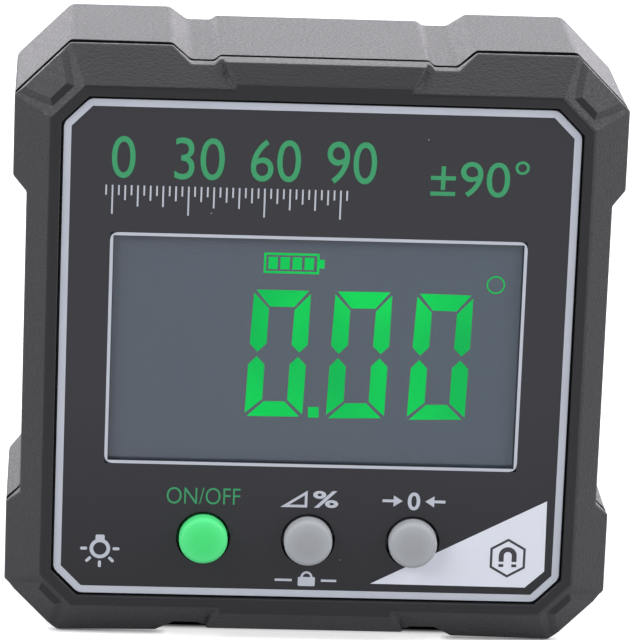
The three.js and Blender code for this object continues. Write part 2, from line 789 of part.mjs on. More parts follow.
function makeBatteryBay() {
  const group = subgroup();
  const rows = [
    ["upper", 1],
    ["lower", -1],
  ];
  const ends = [
    ["left", -1],
    ["right", 1],
  ];
  for (const [name, side] of rows) {
    const z = middle + side * cellRise;
    const y = frontFace + cellDepth;
    const cell = new THREE.Group();
    cell.position.set(0, y, z);
    cell.rotation.z = side > 0 ? Math.PI : 0;
    group.add(cell);
    const springStart = -contactX + fit / 2;
    const cellShift = (springLength + fit / 2) / 2;
    place(cell, `battery_cell_${name}`, cellShape(), finish(0x2f6f4e, 0.35, 0.3), cellShift);
    place(cell, `battery_spring_${name}`, springShape(), springSteel(), springStart);
    for (const [end, x] of ends) {
      const low = x > 0 ? contactX : -contactX - contactThick;
      place(group, `contact_plate_${name}_${end}`, contactShape(), springSteel(), low, frontFace, z);
    }
  }
}

// Battery door: a flush lid on a rubber seal, held by two captive screws

function makeBatteryDoor() {
  const group = subgroup();
  const slab = solid(prism(polygon(cutRectangle(doorHalfX, doorHalfZ, doorLeg)), doorFront, bodyDepth));
  const seat = bodyDepth - doorHeadSunk - doorHeadThick;
  const holes = doorScrewPlaces.flatMap((z) => [
    prism(circle(0, z, doorScrewRadius + fit), doorFront - overrun, bodyDepth + overrun),
    prism(circle(0, z, doorScrewHead + fit), seat - fit, bodyDepth + overrun),
  ]);
  place(group, "battery_door", geometryOf(cut(slab, holes)), blackPlastic());

  const sealX = bayHalfX + (doorLedgeX - fit - sealWidth) / 2;
  const sealZ = bayHalfZ + (doorLedgeX - fit - sealWidth) / 2;
  const ring = rectangle(0, middle, sealX + sealWidth, sealZ + sealWidth);
  const sealFront = ledgeDepth + fit;
  const seal = plate(ring, [rectangle(0, middle, sealX, sealZ)], sealFront, sealFront + sealThick);
  place(group, "door_seal", seal, blackRubber());

  const length = seat - doorFront + doorScrewLength - pilotFloor;
  const screwShape = screw(seat, doorScrewRadius, length, doorScrewHead, doorHeadThick);
  doorScrewPlaces.forEach((z, i) => {
    place(group, `door_screw_${i === 0 ? "upper" : "lower"}`, screwShape, steel(), 0, 0, z);
  });
}

makeCase();
makeDisplay();
makeKeys();
makeBoard();
makeBatteryBay();
makeBatteryDoor();

export default inclinometer;
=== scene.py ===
import math

import bmesh
import bpy
from mathutils import Matrix, Vector
from mathutils.geometry import tessellate_polygon


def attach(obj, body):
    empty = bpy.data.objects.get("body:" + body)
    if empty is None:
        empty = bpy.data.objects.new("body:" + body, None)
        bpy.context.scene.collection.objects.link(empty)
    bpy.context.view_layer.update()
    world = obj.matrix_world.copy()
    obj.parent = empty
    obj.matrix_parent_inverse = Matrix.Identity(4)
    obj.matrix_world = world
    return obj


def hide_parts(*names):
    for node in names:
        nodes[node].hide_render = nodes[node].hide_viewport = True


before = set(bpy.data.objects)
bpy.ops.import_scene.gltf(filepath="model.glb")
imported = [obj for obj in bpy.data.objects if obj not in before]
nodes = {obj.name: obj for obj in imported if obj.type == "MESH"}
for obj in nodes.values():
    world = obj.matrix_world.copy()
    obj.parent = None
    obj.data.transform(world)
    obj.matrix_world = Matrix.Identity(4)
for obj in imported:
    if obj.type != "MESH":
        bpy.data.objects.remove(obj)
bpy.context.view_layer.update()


# The studio: a white paper table that the box stands on, with white all round it. The table
# keeps a soft shadow, darkest where the box touches it: the paper's own shadow, and painted
# shade where its glow is dimmed close to the box. Whatever mirrors the room sees the same white
# as the camera does, with that painted shade spread wider.

TABLE_SIDE = 6000
TABLE_COLOUR = "#c8c8ca"
TABLE_GLOW = 0.75
PAINTED_SHADE_REACH = 0.8
MIRRORED_PAINTED_SHADE_REACH = 14
ROOM_COLOUR = "#ffffff"
ROOM_FILL_COLOUR = "#dfe3ea"
ROOM_FILL = 0.4


def mm(length):
    return length / 1000


def linear(code, alpha=1.0):
    """An sRGB hex value as the linear colour that a shader works with."""
    shares = [int(code[i:i + 2], 16) / 255 for i in (1, 3, 5)]
    bright = [s / 12.92 if s <= 0.04045 else ((s + 0.055) / 1.055) ** 2.4 for s in shares]
    return (*bright, alpha)


def add(tree, kind, settings, inputs):
    """Adds a node, with settings of its own and inputs: constants or other nodes' outputs."""
    made = tree.nodes.new("ShaderNode" + kind)
    for key, value in settings.items():
        setattr(made, key, value)
    for key, value in inputs.items():
        if isinstance(value, bpy.types.NodeSocket):
            tree.links.new(value, made.inputs[key])
        else:
            made.inputs[key].default_value = value
    return made


def new_material(name):
    """An empty material and its node tree."""
    material = bpy.data.materials.new(name)
    material.use_nodes = True
    material.node_tree.nodes.clear()
    return material, material.node_tree


def seen_directly(tree, path):
    """1 for what the camera sees, also in a mirror or through glass, and 0 for all other light."""
    either = add(tree, "Math", {"operation": "MAXIMUM"},
                 {0: path.outputs["Is Camera Ray"], 1: path.outputs["Is Glossy Ray"]})
    return add(tree, "Math", {"operation": "MAXIMUM"},
               {0: either.outputs[0], 1: path.outputs["Is Transmission Ray"]}).outputs[0]


table_paper, tree = new_material("White paper table")
paper = add(tree, "BsdfDiffuse", {}, {"Color": linear(TABLE_COLOUR)})
path = add(tree, "LightPath", {}, {})
reach = add(tree, "Mix", {},
            {0: path.outputs["Is Glossy Ray"], 2: mm(PAINTED_SHADE_REACH), 3: mm(MIRRORED_PAINTED_SHADE_REACH)})
# Painted shade: ambient occlusion dims the table's glow near the box, over a short reach for the
# camera and a longer one for what mirrors the table.
contact = add(tree, "AmbientOcclusion", {"samples": 8}, {"Distance": reach.outputs[0]})
glow_after_painted_shade = add(tree, "Math", {"operation": "MULTIPLY"}, {0: contact.outputs["AO"], 1: TABLE_GLOW})
glow = add(tree, "Emission", {}, {"Color": linear(ROOM_COLOUR), "Strength": glow_after_painted_shade.outputs[0]})
shown = add(tree, "AddShader", {}, {0: paper.outputs[0], 1: glow.outputs[0]})
table_mix = add(tree, "MixShader", {},
                {0: seen_directly(tree, path), 1: paper.outputs[0], 2: shown.outputs[0]})
add(tree, "OutputMaterial", {}, {"Surface": table_mix.outputs[0]})

half = mm(TABLE_SIDE / 2)
table_mesh = bpy.data.meshes.new("studio_table")
table_mesh.from_pydata([(-half, -half, 0), (half, -half, 0), (half, half, 0), (-half, half, 0)],
                       [], [(0, 1, 2, 3)])
table_mesh.materials.append(table_paper)
studio_table = bpy.data.objects.new("studio_table", table_mesh)
bpy.context.scene.collection.objects.link(studio_table)

world = bpy.data.worlds.new("White room")
bpy.context.scene.world = world
world.use_nodes = True
world.node_tree.nodes.clear()
tree = world.node_tree
room_seen = add(tree, "Background", {}, {"Color": linear(ROOM_COLOUR), "Strength": 1.0})
room_fill = add(tree, "Background", {}, {"Color": linear(ROOM_FILL_COLOUR), "Strength": ROOM_FILL})
path = add(tree, "LightPath", {}, {})
room = add(tree, "MixShader", {},
           {0: seen_directly(tree, path), 1: room_fill.outputs[0], 2: room_seen.outputs[0]})
add(tree, "OutputWorld", {}, {"Surface": room.outputs[0]})


# The lamps: two softboxes at either side of the camera, which pick out the corners of the case, a
# weak wide one overhead, and a low wide one behind that glances off the upper faces.

def softbox(name, place, target, width, height, power, colour):
    """A rectangular area lamp that faces a point; lengths in millimetres, power in watts."""
    lamp = bpy.data.lights.new(name, "AREA")
    lamp.shape = "RECTANGLE"
    lamp.size = mm(width)
    lamp.size_y = mm(height)
    lamp.energy = power
    lamp.color = linear(colour)[:3]
    holder = bpy.data.objects.new(name, lamp)
    holder.location = [mm(v) for v in place]
    towards = Vector([mm(v) for v in target]) - holder.location
    holder.rotation_mode = "QUATERNION"
    holder.rotation_quaternion = towards.to_track_quat("-Z", "Y")
    bpy.context.scene.collection.objects.link(holder)


softbox("softbox_above", (0, 100, 700), (0, 0, 30), 900, 700, 3.6, "#fdfcff")
softbox("softbox_behind", (80, 1100, 260), (0, 0, 30), 1500, 520, 7.25, "#fcf8ff")
softbox("softbox_left", (-584, -320, 446), (0, 0, 30), 400, 400, 3.9, "#ffffff")
softbox("softbox_right", (638, -261, 411), (0, 0, 30), 400, 400, 4.0, "#ffffff")


# The camera stands half a metre away, a little to the left and above, with a long lens. Its
# axes were fitted to the corners of the case.

CAMERA_PLACE = (-25.05, -472.24, 161.82)
CAMERA_RIGHT = (0.99833, -0.04381, 0.03755)
CAMERA_FORWARD = (0.05230, 0.96202, -0.26791)
CAMERA_LENS = 275.08
CAMERA_SENSOR = 36

camera_data = bpy.data.cameras.new("camera")
camera_data.sensor_width = CAMERA_SENSOR
camera_data.lens = CAMERA_LENS
camera_data.clip_start = mm(10)
camera_data.clip_end = mm(TABLE_SIDE * 2)
camera = bpy.data.objects.new("camera", camera_data)
bpy.context.scene.collection.objects.link(camera)
forward = Vector(CAMERA_FORWARD).normalized()
right = (Vector(CAMERA_RIGHT) - forward * forward.dot(Vector(CAMERA_RIGHT))).normalized()
up = right.cross(forward)
turn = Matrix((right, up, -forward)).transposed()
camera.matrix_world = Matrix.Translation([mm(v) for v in CAMERA_PLACE]) @ turn.to_4x4()
bpy.context.scene.camera = camera
bpy.context.scene.view_settings.view_transform = "Standard"


# The two halves of the case: black ABS, injection moulded in a spark-eroded tool, so the faces
# have a fine even grain and every edge a small radius. They are screwed together from behind
# with a seal between them. The dark line round the sides is the shade in the gap, painted near
# black on the rear half's rim.

FRONT_BAND_Y = -11.8
BODY_SIDE = 60
BODY_CENTRE = 30
CORNER_LEG = 5.3
FRONT_RIM = 3.45
BACK_DEPTH = 24.6
CORNER_PAD_REACH = 3.2
BEVEL_INSET = 3.57
RECESS_INSET = 4.3
INSIDE_INSET = 4.7
WELD = 0.003
HAIR = 0.05
NEAR = 0.1
FLAT_TURN = 0.6
EDGE_TURN = 10
LENGTH_SHARE = 0.4
LARGEST_OFFSET = 1
EDGE_SEGMENTS = 3
FRONT_RADII = {"seam": 0.12, "recess": 0.15, "band": 0.8, "corner pad": 0.15, "ridge": 0.35}
REAR_RADII = {"seam": 0.06, "back": 0.4, "ridge": 1.0}
AHEAD = 0.98
SEAM_AHEAD = 0.9
LOWER_EDGE_MIDDLE = 20
LOWER_EDGE_RISE = 0.22
LOWER_CORNER_RISE = 0.08
LOWER_PAD_TOP = 1.1
LOWER_PAD_HALF = 10.3
LOWER_PAD_RISE = 0.17
REAR_RIM = 4.1
RIM_REACH = 1
SEAM_LEAD = 0.45
CORNER_SEAM_LEAD = 0.65
NOISE_LOW = 0.3
NOISE_HIGH = 0.7


def corner_inset_of(point):
    """How far a point lies within the nearest cut corner of the body's outline, in millimetres."""
    x = abs(point.x * 1000)
    z = abs(point.z * 1000 - BODY_CENTRE)
    return (BODY_SIDE - CORNER_LEG - x - z) * math.sqrt(0.5)


def inset_of(point):
    """How far a point lies within the eight-sided outline of the body, in millimetres."""
    x = abs(point.x * 1000)
    z = abs(point.z * 1000 - BODY_CENTRE)
    return min(BODY_SIDE / 2 - x, BODY_SIDE / 2 - z, corner_inset_of(point))


def depth_of(point):
    """How far a point lies behind the front band, in millimetres."""
    return point.y * 1000 - FRONT_BAND_Y


def softened(name, node, radius_of):
    """A copy of a solid with whole flat faces, its edges rounded as radius_of(edge) says, in mm."""
    mesh = bpy.data.meshes.new(name)
    shape = bmesh.new()
    shape.from_mesh(nodes[node].data)
    bmesh.ops.remove_doubles(shape, verts=shape.verts, dist=mm(WELD))
    bmesh.ops.dissolve_limit(shape, angle_limit=math.radians(FLAT_TURN), verts=shape.verts,
                             edges=shape.edges)
    weight = shape.edges.layers.float.new("bevel_weight_edge")
    for edge in shape.edges:
        if not edge.is_manifold:
            continue
        turn = edge.calc_face_angle()
        if turn < math.radians(EDGE_TURN):
            continue
        shortest = min(other.calc_length() for vertex in edge.verts for other in vertex.link_edges)
        offset = mm(radius_of(edge)) * math.tan(turn / 2)
        edge[weight] = min(offset, shortest * LENGTH_SHARE) / mm(LARGEST_OFFSET)
        edge.smooth = offset > 0
    for face in shape.faces:
        face.smooth = True
    shape.to_mesh(mesh)
    shape.free()
    return mesh


def show(name, data, material, body, slot, *replaced):
    """Puts a piece in the scene, on its body and in place of the solids that it stands for."""
    piece = bpy.data.objects.new(name, data)
    bpy.context.scene.collection.objects.link(piece)
    data.materials.clear()
    data.materials.append(material)
    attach(piece, body)
    if replaced:
        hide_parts(*replaced)
    return piece


def round_weighted(piece):
    """Rounds the edges of a softened piece, each by its weight."""
    bevel = piece.modifiers.new("edge radius", "BEVEL")
    bevel.limit_method = "WEIGHT"
    bevel.width = mm(LARGEST_OFFSET)
    bevel.segments = EDGE_SEGMENTS
    bevel.use_clamp_overlap = False
    even = piece.modifiers.new("flat faces stay flat", "WEIGHTED_NORMAL")
    even.weight = 100
    even.keep_sharp = True


def grained(tree, place, grain, relief, smoothest, roughest):
    """The roughness and the relief that a fine grain of the given size gives a surface."""
    fine = add(tree, "TexNoise", {}, {"Vector": place, "Scale": 1 / mm(grain), "Detail": 2.0})
    rough = add(tree, "MapRange", {},
                {0: fine.outputs[0], 1: NOISE_LOW, 2: NOISE_HIGH, 3: smoothest, 4: roughest})
    bump = add(tree, "Bump", {},
               {"Height": fine.outputs[0], "Distance": mm(relief), "Strength": 1.0})
    return {"Roughness": rough.outputs[0], "Normal": bump.outputs[0]}


def finish(name, dark, light, drift, grain, relief, smoothest, roughest, extra, drawn=1):
    """A material whose colour drifts between two shades over drift mm, with a grain of grain mm
    that is drawn out sideways by the given factor."""
    material, tree = new_material(name)
    place = add(tree, "TexCoord", {}, {}).outputs["Object"]
    cloud = add(tree, "TexNoise", {}, {"Vector": place, "Scale": 1 / mm(drift), "Detail": 3.0})
    colour = add(tree, "Mix", {"data_type": "RGBA"},
                 {0: cloud.outputs[0], 6: linear(dark), 7: linear(light)})
    across = add(tree, "Mapping", {}, {"Vector": place, "Scale": (1 / drawn, 1, 1)})
    grained_face = grained(tree, across.outputs[0], grain, relief, smoothest, roughest)
    shader = add(tree, "BsdfPrincipled", {},
                 {"Base Color": colour.outputs[2], **grained_face, **extra})
    add(tree, "OutputMaterial", {}, {"Surface": shader.outputs[0]})
    return material


# A dull black that scatters light at a flat angle, with a grain of about 0.25 mm.
case_abs = finish("Black ABS, spark-eroded grain", "#212125", "#28282c", 9, 0.25, 0.08, 0.4, 0.56,
                  {"IOR": 1.5, "Specular IOR Level": 0.35})
# The front half has a deeper grain, drawn out sideways, that the light from above picks out.
front_abs = finish("Black ABS, coarse eroded grain", "#212125", "#28282c", 9, 0.2, 0.11, 0.4, 0.56,
                   {"IOR": 1.5, "Specular IOR Level": 0.35}, 1.7)
# Smooth where the tool is polished: round the face and on the ends of the corner pads. It is
# painted darker than the rest as painted shade, since these faces look to the front.
polished_with_painted_shade = finish("Black ABS, polished tool, painted shade", "#161618", "#1a1a1d", 9, 0.3, 0.003, 0.3, 0.38,
                   {"IOR": 1.5, "Specular IOR Level": 0.25})
# Painted shade: the rear half's rim faces in the seam are near black, as no light comes back
# out of it.
seam_painted_shade = finish("Painted shade in the seam", "#09090a", "#0c0c0d", 4, 0.3, 0.003, 0.8, 0.9,
                    {"IOR": 1.5, "Specular IOR Level": 0.1})


def front_radius(edge):
    """Edge radii of the front half: soft ridges, crisp at the seam and on the corner pads."""
    ends = [(inset_of(v.co), depth_of(v.co)) for v in edge.verts]
    if any(inset > INSIDE_INSET or depth > FRONT_RIM + NEAR for inset, depth in ends):
        return 0
    if all(depth > FRONT_RIM - HAIR for inset, depth in ends):
        return FRONT_RADII["seam"]
    if all(inset > RECESS_INSET for inset, depth in ends):
        return FRONT_RADII["recess"]
    if all(depth < HAIR for inset, depth in ends):
        return FRONT_RADII["band"]
    on_corner = all(corner_inset_of(v.co) < CORNER_PAD_REACH for v in edge.verts)
    behind_band = all(depth > NEAR for inset, depth in ends)
    if on_corner and behind_band and any(inset > NEAR for inset, depth in ends):
        return FRONT_RADII["corner pad"]
    return FRONT_RADII["ridge"]


def rear_radius(edge):
    """Edge radii of the rear half: crisp at the seam, tight round the back face, sharp inside."""
    ends = [(inset_of(v.co), depth_of(v.co)) for v in edge.verts]
    if any(inset > BEVEL_INSET + NEAR for inset, depth in ends):
        return 0
    if all(depth < REAR_RIM + NEAR for inset, depth in ends):
        return REAR_RADII["seam"]
    if all(depth > BACK_DEPTH - NEAR for inset, depth in ends):
        return REAR_RADII["back"]
    return REAR_RADII["ridge"]


# The front half. Its lower edges stand a little higher off the table than in the solid.
front_case = show("front_case", softened("front_case", "front_shell", front_radius), front_abs,
                  "case", "case_plastic", "front_shell")
front_case.data.materials.append(polished_with_painted_shade)
# The band round the face and the front-facing ends of the corner pads get the darker, painted-shade
# material.
for face in front_case.data.polygons:
    on_pad_end = face.normal.y < -AHEAD and inset_of(face.center) < CORNER_PAD_REACH
    if on_pad_end or all(depth_of(front_case.data.vertices[i].co) < HAIR for i in face.vertices):
        face.material_index = 1
for vertex in front_case.data.vertices:
    x, z = abs(vertex.co.x), vertex.co.z
    if z < mm(HAIR):
        vertex.co.z += mm(LOWER_EDGE_RISE if x < mm(LOWER_EDGE_MIDDLE) else LOWER_CORNER_RISE)
    elif z < mm(LOWER_PAD_TOP) and x < mm(LOWER_PAD_HALF):
        vertex.co.z += mm(LOWER_PAD_RISE)
round_weighted(front_case)

# The rear half. Its rim stands back from the seal, most of all at the cut corners.
rear_case = show("rear_case", softened("rear_case", "rear_shell", rear_radius), case_abs,
                 "case", "case_plastic", "rear_shell")
rear_case.data.materials.append(seam_painted_shade)
# The rim's faces that look to the front, deep in the seam, take the near-black painted shade.
for face in rear_case.data.polygons:
    if face.normal.y < -SEAM_AHEAD and depth_of(face.center) < REAR_RIM + NEAR:
        face.material_index = 1
for vertex in rear_case.data.vertices:
    if depth_of(vertex.co) < REAR_RIM + NEAR and inset_of(vertex.co) < RIM_REACH:
        vertex.co.y += mm(CORNER_SEAM_LEAD if corner_inset_of(vertex.co) < NEAR else SEAM_LEAD)
round_weighted(rear_case)


# The seal between the halves: a ring of black silicone rubber pressed into a groove, which lies
# in the line between them beside the rear half's rim, painted near black as painted shade. It is
# dead matt.

DRESSED_TURN = 30
DRESSED_SEGMENTS = 2


def dress(node, material, radius=0):
    """Gives a solid that stays as it is its material, and its edges a small radius in mm."""
    piece = nodes[node]
    piece.material_slots[0].material = material
    if radius:
        bevel = piece.modifiers.new("edge radius", "BEVEL")
        bevel.limit_method = "ANGLE"
        bevel.angle_limit = math.radians(DRESSED_TURN)
        bevel.width = mm(radius)
        bevel.segments = DRESSED_SEGMENTS


# No highlight at all, only a faint bloom.
seal_rubber = finish("Black silicone rubber, pressed", "#101011", "#161618", 4, 0.3, 0.01,
                     0.75, 0.9, {"IOR": 1.41, "Specular IOR Level": 0.3})
dress("shell_gasket", seal_rubber)


# The four case screws: pan heads with a cross recess, rolled thread, nickel-plated steel. They
# sit deep in their wells at the corners of the back.

SCREW_SIDES = 32
THREAD_PITCH = 0.8
THREAD_STEPS = 6
THREAD_DEPTH = 0.18
SCREW_POINT = 0.8
SCREW_CROWN = 0.3
RECESS_MOUTH_SHARES = (0.58, 0.14)
RECESS_FLOOR_SHARES = (0.42, 0.09)
RECESS_DEPTH_SHARE = 0.6
CASE_SCREW_REACH = 21.6
CASE_SCREW = {"seat": 22, "length": 19.1, "shank": 1, "head": 1.9, "thick": 1.4}


def at(x, depth, z):
    """A point of the front view in mm: x and z from the middle, depth from the front band."""
    return Vector((mm(x), mm(FRONT_BAND_Y + depth), mm(BODY_CENTRE + z)))


def finished(name, shape, sharp=35):
    """The mesh of a closed shape, smooth over turns below the given angle."""
    bmesh.ops.recalc_face_normals(shape, faces=shape.faces)
    for face in shape.faces:
        face.smooth = True
    mesh = bpy.data.meshes.new(name)
    shape.to_mesh(mesh)
    shape.free()
    mesh.set_sharp_from_angle(angle=math.radians(sharp))
    return mesh


def bridge(shape, near, far):
    """Faces between two rings of as many points, or between a ring and a single point."""
    sides = max(len(near), len(far))
    for i in range(sides):
        j = (i + 1) % sides
        corners = [near[i % len(near)], near[j % len(near)], far[j % len(far)], far[i % len(far)]]
        shape.faces.new(list(dict.fromkeys(corners)))


def cap(shape, loops, depth):
    """A flat face with holes, over loops of (x, z) at one depth; gives back each loop's points."""
    flat = [[Vector((x, z, 0)) for x, z in loop] for loop in loops]
    made = [[shape.verts.new(at(x, depth, z)) for x, z in loop] for loop in loops]
    points = [point for loop in made for point in loop]
    for triangle in tessellate_polygon(flat):
        shape.faces.new([points[i] for i in triangle])
    return made


def arc(x, z, radius, first, last, steps):
    """Points of an arc round a centre, between two angles in degrees."""
    turns = [math.radians(first + (last - first) * i / steps) for i in range(steps + 1)]
    return [(x + radius * math.cos(t), z + radius * math.sin(t)) for t in turns]


def circle(x, z, radius, sides):
    """Points of a full circle, each there once."""
    return arc(x, z, radius, 0, 360, sides)[:-1]


def cross(x, z, arm, half):
    """The outline of a cross with arms of the given length and half width."""
    quarter = [(arm, -half), (arm, half), (half, half)]
    points = []
    for cos, sin in [(1, 0), (0, 1), (-1, 0), (0, -1)]:
        points += [(x + a * cos - b * sin, z + a * sin + b * cos) for a, b in quarter]
    return points


def screw(name, x, z, seat, length, shank, head, thick):
    """A cross-recessed screw driven in from behind, its head on the given depth."""
    shape = bmesh.new()

    def ring(depth, radius_at):
        made = []
        for i in range(SCREW_SIDES):
            turn = 2 * math.pi * i / SCREW_SIDES
            radius = radius_at(i / SCREW_SIDES)
            place = at(x + radius * math.cos(turn), depth, z + radius * math.sin(turn))
            made.append(shape.verts.new(place))
        return made

    top = seat + thick
    mouth, slot = cap(shape, [circle(x, z, head - SCREW_CROWN, SCREW_SIDES),
                              cross(x, z, *(head * share for share in RECESS_MOUTH_SHARES))], top)
    floor = cap(shape, [cross(x, z, *(head * share for share in RECESS_FLOOR_SHARES))],
                top - thick * RECESS_DEPTH_SHARE)[0]
    bridge(shape, slot, floor)
    rings = [mouth]
    for i in (1, 2, 3):
        turn = math.pi / 2 * i / 3
        rings.append(ring(top - SCREW_CROWN * (1 - math.cos(turn)),
                          lambda share: head - SCREW_CROWN * (1 - math.sin(turn))))
    rings.append(ring(seat, lambda share: head))
    rings.append(ring(seat, lambda share: shank))
    steps = round((length - SCREW_POINT) / THREAD_PITCH * THREAD_STEPS)
    for i in range(1, steps + 1):
        along = (length - SCREW_POINT) * i / steps
        rings.append(ring(seat - along, lambda share: shank - THREAD_DEPTH * abs(
            ((along / THREAD_PITCH + share) % 1) * 2 - 1)))
    for near, far in zip(rings, rings[1:]):
        bridge(shape, near, far)
    bridge(shape, rings[-1], [shape.verts.new(at(x, seat - length, z))])
    return finished(name, shape)


# Bright, with a soft edge to every reflection from the tumbled plating.
screw_nickel = finish("Nickel-plated steel, tumbled", "#a9aaac", "#c2c3c6", 1.2, 0.1, 0.004,
                      0.24, 0.4, {"Metallic": 1.0})
corner_names = {"upper_left": (-1, 1), "upper_right": (1, 1),
                "lower_left": (-1, -1), "lower_right": (1, -1)}
for name, (side_x, side_z) in corner_names.items():
    mesh = screw(f"case_screw_{name}", side_x * CASE_SCREW_REACH, side_z * CASE_SCREW_REACH,
                 **CASE_SCREW)
    show(f"case_screw_{name}", mesh, screw_nickel, "case", "screw_steel", f"shell_screw_{name}")


# The magnets: four sintered discs, nickel plated and barrel tumbled, glued into the underside a
# hair below it. The plating is bright with a fine orange peel.

magnet_plate = finish("Nickel plate on a sintered magnet", "#b4b5b9", "#cbccd0", 3, 0.25, 0.004,
                      0.16, 0.3, {"Metallic": 1.0})
for number in (1, 2, 3, 4):
    dress(f"base_magnet_{number}", magnet_plate, 0.12)


# The display glass: two panes in a white frame, and on them a dark polarising film, smoke grey
# with a blue cast, that is bonded to the back of the window and mirrors the room a little.

FILM_BACK = 0.9
FILM_THICK = 0.02
FILM_PLATE = [(-20, -11.3), (20, -11.3), (20, 11.5), (-20, 11.5)]
GLASS_LEFT = "#474e59"
GLASS_RIGHT = "#434f5a"
HAZE_SHARE = 0.4

display_glass, tree = new_material("Polarising film on glass")
place = add(tree, "TexCoord", {}, {}).outputs["Object"]
parts = add(tree, "SeparateXYZ", {}, {0: place})
across = add(tree, "MapRange", {},
             {0: parts.outputs[0], 1: mm(FILM_PLATE[0][0]), 2: mm(FILM_PLATE[1][0]),
              3: 0.0, 4: 1.0})
haze = add(tree, "TexNoise", {}, {"Vector": place, "Scale": 1 / mm(14), "Detail": 2.0})
share = add(tree, "Math", {"operation": "MULTIPLY_ADD"},
            {0: haze.outputs[0], 1: HAZE_SHARE, 2: across.outputs[0]})
colour = add(tree, "Mix", {"data_type": "RGBA"},
             {0: share.outputs[0], 6: linear(GLASS_LEFT), 7: linear(GLASS_RIGHT)})
rough = add(tree, "MapRange", {},
            {0: haze.outputs[0], 1: NOISE_LOW, 2: NOISE_HIGH, 3: 0.14, 4: 0.2})
shader = add(tree, "BsdfPrincipled", {},
             {"Base Color": colour.outputs[2], "Roughness": rough.outputs[0], "IOR": 1.5,
              "Specular IOR Level": 0.4})
add(tree, "OutputMaterial", {}, {"Surface": shader.outputs[0]})
dress("lcd_glass", display_glass)


def slab(shape, loops, front, back):
    """A flat piece between two depths: an outline of (x, z) and the holes in it."""
    fronts = cap(shape, loops, front)
    backs = cap(shape, loops, back)
    for near, far in zip(fronts, backs):
        bridge(shape, near, far)


def printed(name, pieces, depth, thick, material, slot):
    """Flat printed shapes that stand the given thickness out of a surface of the face."""
    shape = bmesh.new()
    for loops in pieces:
        slab(shape, loops, depth - thick, depth)
    return show(name, finished(name, shape, 20), material, "case", slot)


printed("display_film", [[FILM_PLATE]], FILM_BACK, FILM_THICK, display_glass, "display_glass")


# The lit figures of the display: clear gaps in the dark film that the green backlight shines
# through, so they glow evenly with sharp edges.

FIGURE_RAISE = 0.09
DIGITS = [
    [(-6.22, 6.20), (-0.54, 6.20), (-0.99, -6.70), (-6.72, -6.75)],
    [(1.75, 6.20), (7.44, 6.25), (7.08, -6.66), (1.31, -6.80)],
    [(9.80, 6.19), (15.41, 6.13), (15.05, -6.62), (9.31, -6.76)],
]
ZERO_SEGMENTS = [
    [(0.048, 0), (0.953, 0), (0.716, 0.13), (0.302, 0.13)],
    [(0.01, 0.024), (0.283, 0.146), (0.286, 0.42), (0.14, 0.4885), (0, 0.423)],
    [(0.988, 0.024), (0.998, 0.427), (0.861, 0.4885), (0.722, 0.427), (0.729, 0.154)],
    [(0.134, 0.522), (0.279, 0.589), (0.284, 0.862), (0, 0.972), (0, 0.589)],
    [(0.846, 0.523), (0.993, 0.589), (0.993, 0.98), (0.716, 0.866), (0.713, 0.585)],
    [(0.313, 0.879), (0.67, 0.879), (0.944, 0.9976), (0.039, 0.9976)],
]
POINT = [(-0.48, -5.66), (0.56, -5.64), (0.60, -6.72), (-0.44, -6.74)]
DEGREE_PLACE = (17.49, 7.26)
DEGREE_RADIUS = 0.9
DEGREE_LINE = 0.14
RING_SIDES = 48
CELL_SIGN = [(-5.33, 7.9), (0.1, 7.9), (0.1, 9.97), (-5.33, 9.97)]
CELL_SIGN_LINE = 0.22
CELL_SIGN_NUB = [(0.1, 8.5), (0.6, 8.5), (0.6, 9.37), (0.1, 9.37)]
CELL_BAR = [(-4.88, 8.32), (-3.98, 8.32), (-3.98, 9.55), (-4.88, 9.55)]
CELL_BARS = 4
CELL_BAR_PITCH = 1.18
FIGURE_GLOW = 0.6


def ring_of(points, width):
    """A closed line of the given width, inside an outline that runs counterclockwise."""
    inner = []
    count = len(points)
    for i, (x, z) in enumerate(points):
        before = Vector(points[i]) - Vector(points[i - 1])
        after = Vector(points[(i + 1) % count]) - Vector(points[i])
        normals = [Vector((-step.y, step.x)).normalized() for step in (before, after)]
        mitre = (normals[0] + normals[1]) / (1 + normals[0].dot(normals[1]))
        inner.append((x + mitre.x * width, z + mitre.y * width))
    return [points, inner]


def on_digit(corners, u, v):
    """A place of a digit, u across and v down, between its four corners."""
    top = Vector(corners[0]).lerp(Vector(corners[1]), u)
    bottom = Vector(corners[3]).lerp(Vector(corners[2]), u)
    return tuple(top.lerp(bottom, v))


figures = [[[on_digit(corners, u, v) for u, v in segment]]
           for corners in DIGITS for segment in ZERO_SEGMENTS]
degree_ring = [circle(*DEGREE_PLACE, radius, RING_SIDES)
               for radius in (DEGREE_RADIUS, DEGREE_RADIUS - DEGREE_LINE)]
figures += [[POINT], degree_ring, ring_of(CELL_SIGN, CELL_SIGN_LINE), [CELL_SIGN_NUB]]
figures += [[[(x + i * CELL_BAR_PITCH, z) for x, z in CELL_BAR]] for i in range(CELL_BARS)]

